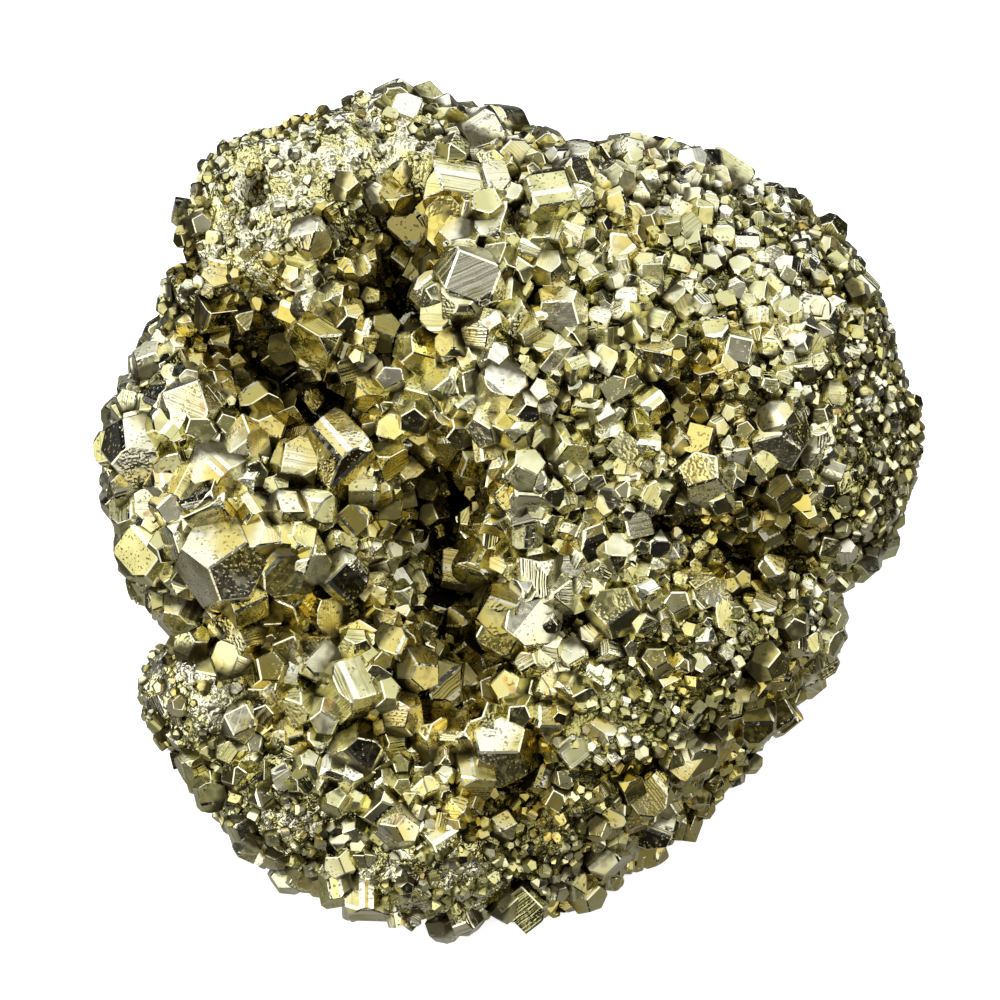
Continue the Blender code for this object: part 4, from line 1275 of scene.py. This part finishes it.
# Edge flats turn pale, partly for wear and partly as a painted highlight
EDGE_WEAR_AND_HIGHLIGHT = (-0.5, -0.9)
# How much of each layer of colour shows where it is thickest
OLIVE_LAYER, AMBER_LAYER, RUST_LAYER = 0.55, 0.82, 0.6
# The line, pit and foot layers are painted shade.
LINE_SHADE_LAYER, PIT_SHADE_LAYER, FOOT_SHADE_LAYER = 0.35, 0.55, 0.92
FACE_MIX = 13.7
SMEAR_LEVELS = (0.45, 0.75)
# Roughness added by smears, pits, rust and the painted shade at the foot of each crystal
SMEAR_DULL, PIT_DULL, RUST_DULL, FOOT_SHADE_DULL = 0.12, 0.3, 0.2, 0.25
# Heights of the waves and pits next to the stripes
WAVE_HEIGHT, PIT_HEIGHT = 0.8, 0.35


def pyrite_material(colours):
    """Brassy metal with growth stripes, pits and tarnish, with painted shade in its grooves, pits, feet
    and hollows and a painted highlight on its edge flats.
    """
    made = bpy.data.materials.get("pyrite crystals")
    if made:
        return made
    made = bpy.data.materials.new("pyrite crystals")
    made.use_nodes = True
    graph = Graph(made.node_tree)
    shader = made.node_tree.nodes["Principled BSDF"]
    place = graph.scaled(graph.add("ShaderNodeTexCoord").outputs["Object"], 1.0 / MM)
    facet = graph.attribute("facet")
    tint = graph.attribute("tint")
    wave = graph.noise(place, WAVE_GRAIN)
    stripes = group_node(
        graph, stripes_group(),
        {"Stripes": graph.attribute("stripes", "Vector"), "Facet": facet, "Sway": wave},
    )
    pits = group_node(graph, pits_group(), {"Place": place, "Facet": facet, "Patch": wave})
    tarnish = group_node(
        graph, tarnish_group(), {"Place": place, "Hollow": graph.attribute("hollow"), "Tint": tint}
    )
    pale = graph.between(tint, 0.1, 0.8)
    smear = graph.noise(place, SMEAR_GRAIN)
    # Painted shade near the foot of each crystal, from how far it rises above its ground
    rise = graph.math("MULTIPLY_ADD", smear, FOOT_SHADE_SMEAR, graph.attribute("rise"))
    painted_shade = graph.between(rise, *FOOT_SHADE_LEVELS)
    colour = graph.mix(pale, (*colours.gold, 1.0), (*colours.pale, 1.0))
    layers = (
        (graph.math("MULTIPLY", tarnish["Olive"], OLIVE_LAYER), colours.olive),
        (graph.math("MULTIPLY", tarnish["Amber"], AMBER_LAYER), colours.amber),
        (graph.math("MULTIPLY", tarnish["Rust"], RUST_LAYER), colours.rust),
        # Painted shade in the grooves between the stripes and in the deepest pits
        (graph.math("MULTIPLY", stripes["Lines"], LINE_SHADE_LAYER), colours.groove_shade),
        (graph.math("MULTIPLY", pits["Mask"], PIT_SHADE_LAYER), colours.groove_shade),
        (graph.between(facet, *EDGE_WEAR_AND_HIGHLIGHT), colours.pale),
        # Pale edge flats: partly wear, partly a painted highlight
        (graph.math("MULTIPLY", painted_shade, FOOT_SHADE_LAYER), colours.painted_shade),
        # Painted shade in the hollows, the pockets and on the steep side
        (graph.between(graph.attribute("hollow"), *HOLLOW_SHADE_LEVELS), colours.painted_shade),
    )
    for share, layer in layers:
        colour = graph.mix(share, colour, (*layer, 1.0))
    graph.tree.links.new(colour, shader.inputs["Base Color"])
    shader.inputs["Metallic"].default_value = 1.0
    own = graph.math("FRACT", graph.math("MULTIPLY", facet, FACE_MIX))
    rough = colours.polish
    duller = (
        (graph.between(own, 0.3, 1.0), colours.face_spread),
        (graph.between(smear, *SMEAR_LEVELS), SMEAR_DULL),
        (pits["Mask"], PIT_DULL),
        (tarnish["Rust"], RUST_DULL),
        (painted_shade, FOOT_SHADE_DULL),
    )
    for share, amount in duller:
        rough = graph.math("MULTIPLY_ADD", share, amount, rough)
    graph.tree.links.new(rough, shader.inputs["Roughness"])
    height = graph.math("MULTIPLY_ADD", wave, WAVE_HEIGHT, stripes["Height"])
    height = graph.math("MULTIPLY_ADD", pits["Height"], PIT_HEIGHT, height)
    bump = graph.add("ShaderNodeBump", {"Height": height, "Distance": colours.relief})
    graph.tree.links.new(bump.outputs[0], shader.inputs["Normal"])
    return made


# How far above a point of the bed, in metres, a larger crystal that covers it is looked for
COVER_LOOK = 6.0 * MM
# Above the number of shapes, so that every shape is picked about as often
MANY = 9999


def grain_tree():
    """Tree that covers the bed with small crystals where larger ones leave room."""
    graph, given, result = new_group(
        "grow small crystals", "GeometryNodeTree",
        [
            ("Bed", "NodeSocketGeometry", None),
            ("Spacing", FLOAT, 0.002),
            ("Crowd", FLOAT, 1.0),
            ("Smallest", FLOAT, 0.002),
            ("Largest", FLOAT, 0.003),
            ("Stand", FLOAT, 0.2),
            ("Tilt", FLOAT, 0.4),
            ("Buried", FLOAT, 0.6),
            ("Where", "NodeSocketString", "grow"),
            ("Seed", "NodeSocketInt", 1),
            ("Shapes", "NodeSocketCollection", None),
            ("Larger", "NodeSocketCollection", None),
            ("Metal", "NodeSocketMaterial", None),
        ],
        [("Crystals", "NodeSocketGeometry")],
    )

    def stored(name):
        return graph.add("GeometryNodeInputNamedAttribute", {"Name": name}, data_type="FLOAT").outputs[0]

    def store(geometry, name, value, domain):
        inputs = {"Geometry": geometry, "Name": name, "Value": value}
        kinds = {"data_type": "FLOAT", "domain": domain}
        return graph.add("GeometryNodeStoreNamedAttribute", inputs, **kinds).outputs[0]

    def joined(*axes):
        return graph.add("ShaderNodeCombineXYZ", dict(enumerate(axes))).outputs[0]

    share = stored(given["Where"])
    grain = stored("grain")
    cell = graph.math("MULTIPLY", given["Spacing"], given["Spacing"])
    dense = graph.math("DIVIDE", given["Crowd"], cell)
    spread = graph.add(
        "GeometryNodeDistributePointsOnFaces",
        {
            "Mesh": given["Bed"],
            "Distance Min": given["Spacing"],
            "Density Max": dense,
            "Density Factor": share,
            "Seed": given["Seed"],
        },
        distribute_method="POISSON",
    )
    normal = spread.outputs["Normal"]

    def chance(offset, low, high, kind="FLOAT"):
        seed = graph.math("ADD", given["Seed"], float(offset))
        node = graph.add("FunctionNodeRandomValue", {"Seed": seed}, data_type=kind)
        sockets = {"FLOAT": (2, 3, 1), "FLOAT_VECTOR": (0, 1, 0), "INT": (4, 5, 2)}[kind]
        for socket, value in ((sockets[0], low), (sockets[1], high)):
            if isinstance(value, bpy.types.NodeSocket):
                graph.tree.links.new(value, node.inputs[socket])
            else:
                node.inputs[socket].default_value = value
        return node.outputs[sockets[2]]

    width = graph.math("MULTIPLY", chance(1, given["Smallest"], given["Largest"]), grain)
    keep_width = store(spread.outputs["Points"], "width", width, "POINT")
    width = stored("width")
    larger = graph.add("GeometryNodeCollectionInfo", {"Collection": given["Larger"]}).outputs[0]
    larger = graph.add("GeometryNodeRealizeInstances", {"Geometry": larger}).outputs[0]
    place = graph.add("GeometryNodeInputPosition").outputs[0]
    cover = graph.add(
        "GeometryNodeRaycast",
        {
            "Target Geometry": larger,
            "Source Position": graph.vector("ADD", place, graph.scaled(normal, COVER_LOOK)),
            "Ray Direction": graph.scaled(normal, -1.0),
            "Ray Length": COVER_LOOK,
        },
    )
    depth = graph.math("SUBTRACT", COVER_LOOK, cover.outputs["Hit Distance"])
    deep = graph.math("GREATER_THAN", depth, graph.math("MULTIPLY", width, given["Buried"]))
    gone = graph.math("MULTIPLY", deep, cover.outputs["Is Hit"])
    kept = graph.add("GeometryNodeDeleteGeometry", {"Geometry": keep_width, "Selection": gone}).outputs[0]
    rise = graph.scaled(normal, graph.math("MULTIPLY", width, given["Stand"]))
    raised = graph.add("GeometryNodeSetPosition", {"Geometry": kept, "Offset": rise}).outputs[0]
    back = graph.math("MULTIPLY", given["Tilt"], -1.0)
    most = joined(given["Tilt"], given["Tilt"], 2.0 * math.pi)
    lean = chance(2, joined(back, back), most, "FLOAT_VECTOR")
    wobble = graph.add("FunctionNodeEulerToRotation", {0: lean}).outputs[0]
    turned = graph.add(
        "FunctionNodeRotateRotation",
        {0: spread.outputs["Rotation"], 1: wobble},
        rotation_space="LOCAL",
    ).outputs[0]
    shapes = graph.add(
        "GeometryNodeCollectionInfo",
        {"Collection": given["Shapes"], "Separate Children": True, "Reset Children": True},
    ).outputs[0]
    copies = graph.add(
        "GeometryNodeInstanceOnPoints",
        {
            "Points": raised,
            "Instance": shapes,
            "Pick Instance": True,
            "Instance Index": chance(3, 0, MANY, "INT"),
            "Rotation": turned,
            "Scale": width,
        },
    ).outputs[0]
    tinted = store(copies, "tint", chance(4, 0.0, 1.0), "INSTANCE")
    real = graph.add("GeometryNodeRealizeInstances", {"Geometry": tinted}).outputs[0]
    axes = graph.add("ShaderNodeSeparateXYZ", {0: place}).outputs
    level = joined(axes[0], axes[1], graph.math("MAXIMUM", axes[2], 0.0))
    flat = graph.add("GeometryNodeSetPosition", {"Geometry": real, "Position": level}).outputs[0]
    done = graph.add("GeometryNodeSetMaterial", {"Geometry": flat, "Material": given["Metal"]}).outputs[0]
    graph.tree.links.new(done, result.inputs[0])
    return graph.tree


def small_shapes(name, count, seed, blunt, buried, stripe_scale, forms):
    """Collection of small crystals of width 1, turned at random and cut flat where they are buried."""
    dice = random.Random(seed)
    held = bpy.data.collections.new(name)
    bpy.context.scene.collection.children.link(held)
    for number in range(count):
        form = dice.choice(forms)
        shape = crystal_form(form, dice)
        trim_form(shape, form, dice)
        dress_crystal(shape, 1.0 / MM, stripe_scale, blunt / MM, dice)
        turn = turn_to(random_direction(dice), dice.uniform(0.0, math.pi))
        bmesh.ops.transform(shape, matrix=turn.to_4x4() @ Matrix.Scale(0.5 / MM, 4), verts=shape.verts)
        slice_off(shape, Vector((0.0, 0.0, -buried / MM)), Vector((0.0, 0.0, -1.0)))
        gathered = Gathered()
        ground = Vector((0.0, 0.0, -GROUND_SHARE / MM))
        gathered.add(shape, 0.5, 0.0, dice, 1.0 / MM, ground, Vector((0.0, 0.0, 1.0)))
        shape.free()
        mesh = gathered.mesh(f"{name}_{number:02d}")
        for label in ("tint", "hollow"):
            mesh.attributes.remove(mesh.attributes[label])
        held.objects.link(bpy.data.objects.new(mesh.name, mesh))
    return held


def drop_collection(held):
    """Remove a collection with its objects."""
    for made in list(held.objects):
        bpy.data.objects.remove(made)
    bpy.data.collections.remove(held)


def new_piece(name, mesh, metal):
    """A finished piece of the specimen, in place of the plain solid."""
    mesh.materials.clear()
    mesh.materials.append(metal)
    piece = bpy.data.objects.new(name, mesh)
    bpy.context.scene.collection.objects.link(piece)
    return piece


def declare(piece):
    """Hang the piece on its body and hide the plain solid that it stands for."""
    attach(piece, BODY)
    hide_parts(NODE)


GROUND_SHARE = 0.07

# Grades of small crystals: name, spacing, crowd, smallest, largest, stand, tilt, buried, where, shapes
# (count, blunt, cut depth, stripe scale)
GRADES = (
    ("coarse_crystals", 2.4, 1.2, 3.0, 4.4, 0.18, 0.5, 0.60, "coarse", (36, 0.012, 0.26, 3.6)),
    ("medium_crystals", 1.5, 1.2, 1.9, 3.1, 0.12, 0.5, 0.60, "medium", (30, 0.012, 0.22, 2.4)),
    ("small_crystals", 1.0, 1.0, 1.1, 1.9, 0.10, 0.5, 0.50, "grow", (24, 0.0, 0.22, 1.6)),
    ("drusy_crystals", 0.8, 1.0, 0.6, 1.1, 0.12, 0.5, 0.40, "fine", (16, 0.0, 0.15, 0.8)),
)


class SpecimenSizes(bpy.types.PropertyGroup):
    """Sizes of the crust."""

    spread: bpy.props.FloatProperty(
        name="Crystal size", description="Factor on the width of the small crystals", default=1.0,
        min=0.5, max=1.5, subtype="FACTOR",
    )
    seed: bpy.props.IntProperty(name="Seed", description="Start of the random placing", default=11)


class SpecimenColours(bpy.types.PropertyGroup):
    """Colours and finish of the metal."""

    gold: bpy.props.FloatVectorProperty(
        name="Gold", description="Metal of most faces", subtype="COLOR", default=(0.66, 0.61, 0.26)
    )
    # Also laid on the edge flats, partly for wear and partly as a painted highlight
    pale: bpy.props.FloatVectorProperty(
        name="Pale", description="Fresh faces and worn edges", subtype="COLOR",
        default=(0.80, 0.765, 0.53),
    )
    olive: bpy.props.FloatVectorProperty(
        name="Olive", description="Dull grey-green film", subtype="COLOR", default=(0.42, 0.39, 0.14)
    )
    # Amber in the hollows: partly tarnish, partly a painted reflection of the gold around them
    amber: bpy.props.FloatVectorProperty(
        name="Amber", description="Tarnish in the hollows", subtype="COLOR", default=(0.60, 0.475, 0.09)
    )
    rust: bpy.props.FloatVectorProperty(
        name="Rust", description="Small rusty spots", subtype="COLOR", default=(0.58, 0.32, 0.05)
    )
    # Painted shade in the grooves and pits
    groove_shade: bpy.props.FloatVectorProperty(
        name="Groove", description="Dark lines and pits", subtype="COLOR", default=(0.16, 0.13, 0.06)
    )
    # Painted shade: the dark colour laid on the crust, the feet of the crystals, the hollows and the
    # pockets
    painted_shade: bpy.props.FloatVectorProperty(
        name="Crevice", description="Grime between the crystals", subtype="COLOR",
        default=(0.055, 0.045, 0.015),
    )
    polish: bpy.props.FloatProperty(
        name="Polish", description="Roughness of the smoothest faces", default=0.09, subtype="FACTOR"
    )
    face_spread: bpy.props.FloatProperty(
        name="Dull faces", description="Roughness added on the dullest faces", default=0.2,
        subtype="FACTOR",
    )
    relief: bpy.props.FloatProperty(
        name="Relief", description="Depth of stripes and pits", default=0.06 * MM, unit="LENGTH",
        precision=5,
    )


class StageSettings(bpy.types.PropertyGroup):
    """Floor, lights and camera."""

    lens: bpy.props.FloatProperty(
        name="Lens", description="Focal length", default=200.0, unit="CAMERA"
    )
    distance: bpy.props.FloatProperty(
        name="Distance", description="From the camera to the middle", default=0.5556, unit="LENGTH"
    )
    floor: bpy.props.FloatVectorProperty(
        name="Floor", description="Pale floor", subtype="COLOR", default=(0.86, 0.86, 0.86)
    )
    back_light: bpy.props.FloatProperty(
        name="Back panel", description="Brightness of the large soft panel behind", default=1.16
    )
    side_light: bpy.props.FloatProperty(
        name="Side panels", description="Brightness of the soft panels beside", default=1.32
    )
    front_light: bpy.props.FloatProperty(
        name="Front fill", description="Brightness of the sky around the camera", default=0.34
    )


class PYRITE_OT_large_crystals(bpy.types.Operator):
    """Grow the large crystals of the front, sides and back"""

    bl_idname = "pyrite.large_crystals"
    bl_label = "Large crystals"

    def execute(self, context):
        metal = pyrite_material(context.scene.pyrite_colours)
        front, sides = grow_large_crystals()
        for name, gathered in (("front_crystals", front), ("side_crystals", sides)):
            declare(new_piece(name, gathered.mesh(name), metal))
        return {"FINISHED"}


class PYRITE_OT_crystal_bed(bpy.types.Operator):
    """Make the crust that the crystals stand on"""

    bl_idname = "pyrite.crystal_bed"
    bl_label = "Crystal bed"

    def execute(self, context):
        metal = bed_material(context.scene.pyrite_colours)
        declare(new_piece("crystal_bed", bed_mesh(), metal))
        return {"FINISHED"}


class PYRITE_OT_small_crystals(bpy.types.Operator):
    """Cover the bed with small crystals between the large ones, in four grades"""

    bl_idname = "pyrite.small_crystals"
    bl_label = "Small crystals"

    def execute(self, context):
        scene = context.scene
        metal = pyrite_material(scene.pyrite_colours)
        bed = bpy.data.objects.get("crystal_bed")
        if bed is None:
            raise RuntimeError("the crystal bed comes first")
        tree = grain_tree()
        sockets = {
            item.name: item.identifier for item in tree.interface.items_tree
            if item.item_type == "SOCKET" and item.in_out == "INPUT"
        }
        larger = bpy.data.collections.new("larger crystals")
        scene.collection.children.link(larger)
        for name in ("front_crystals", "side_crystals"):
            larger.objects.link(bpy.data.objects[name])
        for order, grade in enumerate(GRADES):
            name, spacing, crowd, smallest, largest, stand, tilt, buried, where, shape = grade
            count, blunt, cut, stripe_scale = shape
            seed = scene.pyrite_sizes.seed
            looks = (blunt, cut, stripe_scale, SMALL_FORMS)
            shapes = small_shapes(f"{name} shapes", count, seed + order, *looks)
            piece = new_piece(name, bed.data.copy(), metal)
            grow = piece.modifiers.new("grow", "NODES")
            grow.node_group = tree
            factor = scene.pyrite_sizes.spread * MM
            values = {
                "Spacing": spacing * MM, "Crowd": crowd, "Smallest": smallest * factor,
                "Largest": largest * factor, "Stand": stand, "Tilt": tilt, "Buried": buried,
                "Where": where, "Seed": seed * 10 + order, "Shapes": shapes,
                "Larger": larger, "Metal": metal,
            }
            for label, value in values.items():
                grow[sockets[label]] = value
            grown = piece.evaluated_get(context.evaluated_depsgraph_get())
            mesh = bpy.data.meshes.new_from_object(grown)
            piece.modifiers.clear()
            piece.data = mesh
            mesh.name = name
            if not mesh.polygons:
                raise RuntimeError(f"no crystals grew for {name}")
            drop_collection(shapes)
            larger.objects.link(piece)
            declare(piece)
        bpy.data.collections.remove(larger)
        return {"FINISHED"}


def soft_panel(name, place, target, width, height, brightness, colour):
    """A soft area light that faces a point and looks as bright as asked."""
    light = bpy.data.lights.new(name, "AREA")
    light.shape = "RECTANGLE"
    light.size = width
    light.size_y = height
    light.energy = 4.0 * width * height * brightness
    light.color = colour
    lamp = bpy.data.objects.new(name, light)
    lamp.location = place
    lamp.rotation_euler = (Vector(target) - Vector(place)).to_track_quat("-Z", "Y").to_euler()
    bpy.context.scene.collection.objects.link(lamp)
    return lamp


# Surroundings as the metal mirrors them: a bright patch behind the viewer, and a dim sky
PATCH_EDGE = (0.80, 0.995)
SKY_LEVELS = (-0.1, 0.9, 0.008, 0.045)
SENSOR_WIDTH = 36.0
COOL, PLAIN = (0.95, 1.0, 1.2), (1.0, 1.0, 1.0)
# Soft panels: name, bearing, elevation, distance, width, height, share of brightness, colour
PANELS = (
    ("back panel", 0, 49, 0.9, 2.8, 1.3, 1.0, COOL),
    ("left panel", -112, 38, 0.8, 0.75, 1.0, 1.0, PLAIN),
    ("right panel", 108, 34, 0.8, 0.65, 0.8, 0.9, PLAIN),
    ("low panel", -150, 12, 0.8, 0.6, 0.35, 0.7, PLAIN),
)

# The floor shows pale to the camera. In the metal it mirrors dark, but for a card under the specimen.
FLOOR_RADIUS = 3.0
FLOOR_SIDES = 96
FLOOR_ROUGHNESS = 0.9
FLOOR_GLOW = 0.75
CARD_RADIUS = 0.055
CARD_GLOW = 0.32


class PYRITE_OT_stage(bpy.types.Operator):
    """Lay the floor, hang the lights and set the camera"""

    bl_idname = "pyrite.stage"
    bl_label = "Stage"

    def execute(self, context):
        settings = context.scene.pyrite_stage
        middle = Vector(PLANE_ORIGIN) * MM
        shape = bmesh.new()
        bmesh.ops.create_circle(shape, cap_ends=True, segments=FLOOR_SIDES, radius=FLOOR_RADIUS)
        mesh = bpy.data.meshes.new("floor")
        shape.to_mesh(mesh)
        shape.free()
        floor = bpy.data.objects.new("floor", mesh)
        context.scene.collection.objects.link(floor)
        pale = bpy.data.materials.new("pale floor")
        pale.use_nodes = True
        shader = pale.node_tree.nodes["Principled BSDF"]
        shader.inputs["Roughness"].default_value = FLOOR_ROUGHNESS
        shader.inputs["Emission Color"].default_value = (1.0, 1.0, 1.0, 1.0)
        graph = Graph(pale.node_tree)
        light_path = graph.add("ShaderNodeLightPath").outputs
        mirrored = light_path["Is Glossy Ray"]
        spot = graph.add("ShaderNodeTexCoord").outputs["Object"]
        away = graph.add("ShaderNodeVectorMath", {0: spot}, operation="LENGTH").outputs["Value"]
        near = graph.between(away, CARD_RADIUS, 2.0 * CARD_RADIUS, CARD_GLOW, 0.0)
        colour = graph.mix(mirrored, (*settings.floor, 1.0), (0.0, 0.0, 0.0, 1.0))
        graph.tree.links.new(colour, shader.inputs["Base Color"])
        glow = graph.math("MULTIPLY", light_path["Is Camera Ray"], FLOOR_GLOW)
        glow = graph.math("MULTIPLY_ADD", mirrored, near, glow)
        graph.tree.links.new(glow, shader.inputs["Emission Strength"])
        mesh.materials.append(pale)

        def around(bearing, elevation, distance):
            bearing, elevation = math.radians(bearing), math.radians(elevation)
            way = Vector((
                math.cos(elevation) * math.sin(bearing),
                math.cos(elevation) * math.cos(bearing),
                math.sin(elevation),
            ))
            return middle + way * distance

        levels = {"back panel": settings.back_light}
        for name, bearing, elevation, distance, width, height, share, colour in PANELS:
            place = around(bearing, elevation, distance)
            brightness = levels.get(name, settings.side_light) * share
            soft_panel(name, place, middle, width, height, brightness, colour)

        world = bpy.data.worlds.new("studio")
        world.use_nodes = True
        graph = Graph(world.node_tree)
        back = world.node_tree.nodes["Background"]
        sky = graph.add("ShaderNodeTexCoord").outputs["Generated"]
        way = graph.add("ShaderNodeSeparateXYZ", {0: sky})
        facing = graph.add(
            "ShaderNodeVectorMath", {0: sky, 1: tuple(TOWARD)}, operation="DOT_PRODUCT"
        ).outputs["Value"]
        front = graph.between(facing, *PATCH_EDGE, 0.0, settings.front_light)
        high = graph.between(way.outputs[2], *SKY_LEVELS)
        camera_ray = graph.add("ShaderNodeLightPath").outputs["Is Camera Ray"]
        level = graph.math("MAXIMUM", graph.math("ADD", high, front), camera_ray)
        graph.tree.links.new(level, back.inputs["Strength"])
        back.inputs["Color"].default_value = (1.0, 1.0, 1.0, 1.0)
        context.scene.world = world

        lens = bpy.data.cameras.new("camera")
        lens.sensor_width = SENSOR_WIDTH
        lens.lens = settings.lens
        camera = bpy.data.objects.new("camera", lens)
        camera.location = middle + Vector(TOWARD) * settings.distance
        camera.rotation_euler = Vector(-TOWARD).to_track_quat("-Z", "Y").to_euler()
        context.scene.collection.objects.link(camera)
        context.scene.camera = camera
        context.scene.view_settings.view_transform = "Standard"
        return {"FINISHED"}


class PYRITE_PT_panel(bpy.types.Panel):
    """Steps and settings of the specimen"""

    bl_label = "Pyrite specimen"
    bl_idname = "PYRITE_PT_panel"
    bl_space_type = "VIEW_3D"
    bl_region_type = "UI"
    bl_category = "Pyrite"

    def draw(self, context):
        for group in ("pyrite_sizes", "pyrite_colours", "pyrite_stage"):
            held = getattr(context.scene, group)
            for name in held.__annotations__:
                self.layout.prop(held, name)
        for step in STEPS:
            self.layout.operator(step.bl_idname)


STEPS = (PYRITE_OT_large_crystals, PYRITE_OT_crystal_bed, PYRITE_OT_small_crystals, PYRITE_OT_stage)
SETTINGS = {
    "pyrite_sizes": SpecimenSizes,
    "pyrite_colours": SpecimenColours,
    "pyrite_stage": StageSettings,
}


def register():
    """Add the classes and their settings."""
    for made in (*SETTINGS.values(), *STEPS, PYRITE_PT_panel):
        bpy.utils.register_class(made)
    for name, group in SETTINGS.items():
        setattr(bpy.types.Scene, name, bpy.props.PointerProperty(type=group))


def unregister():
    """Remove the classes and their settings."""
    for name in SETTINGS:
        delattr(bpy.types.Scene, name)
    for made in (PYRITE_PT_panel, *reversed(STEPS), *reversed(list(SETTINGS.values()))):
        bpy.utils.unregister_class(made)


def main():
    """Make the specimen and its stage."""
    register()
    bpy.ops.pyrite.large_crystals()
    bpy.ops.pyrite.crystal_bed()
    bpy.ops.pyrite.small_crystals()
    bpy.ops.pyrite.stage()


if __name__ == "__main__":
    main()
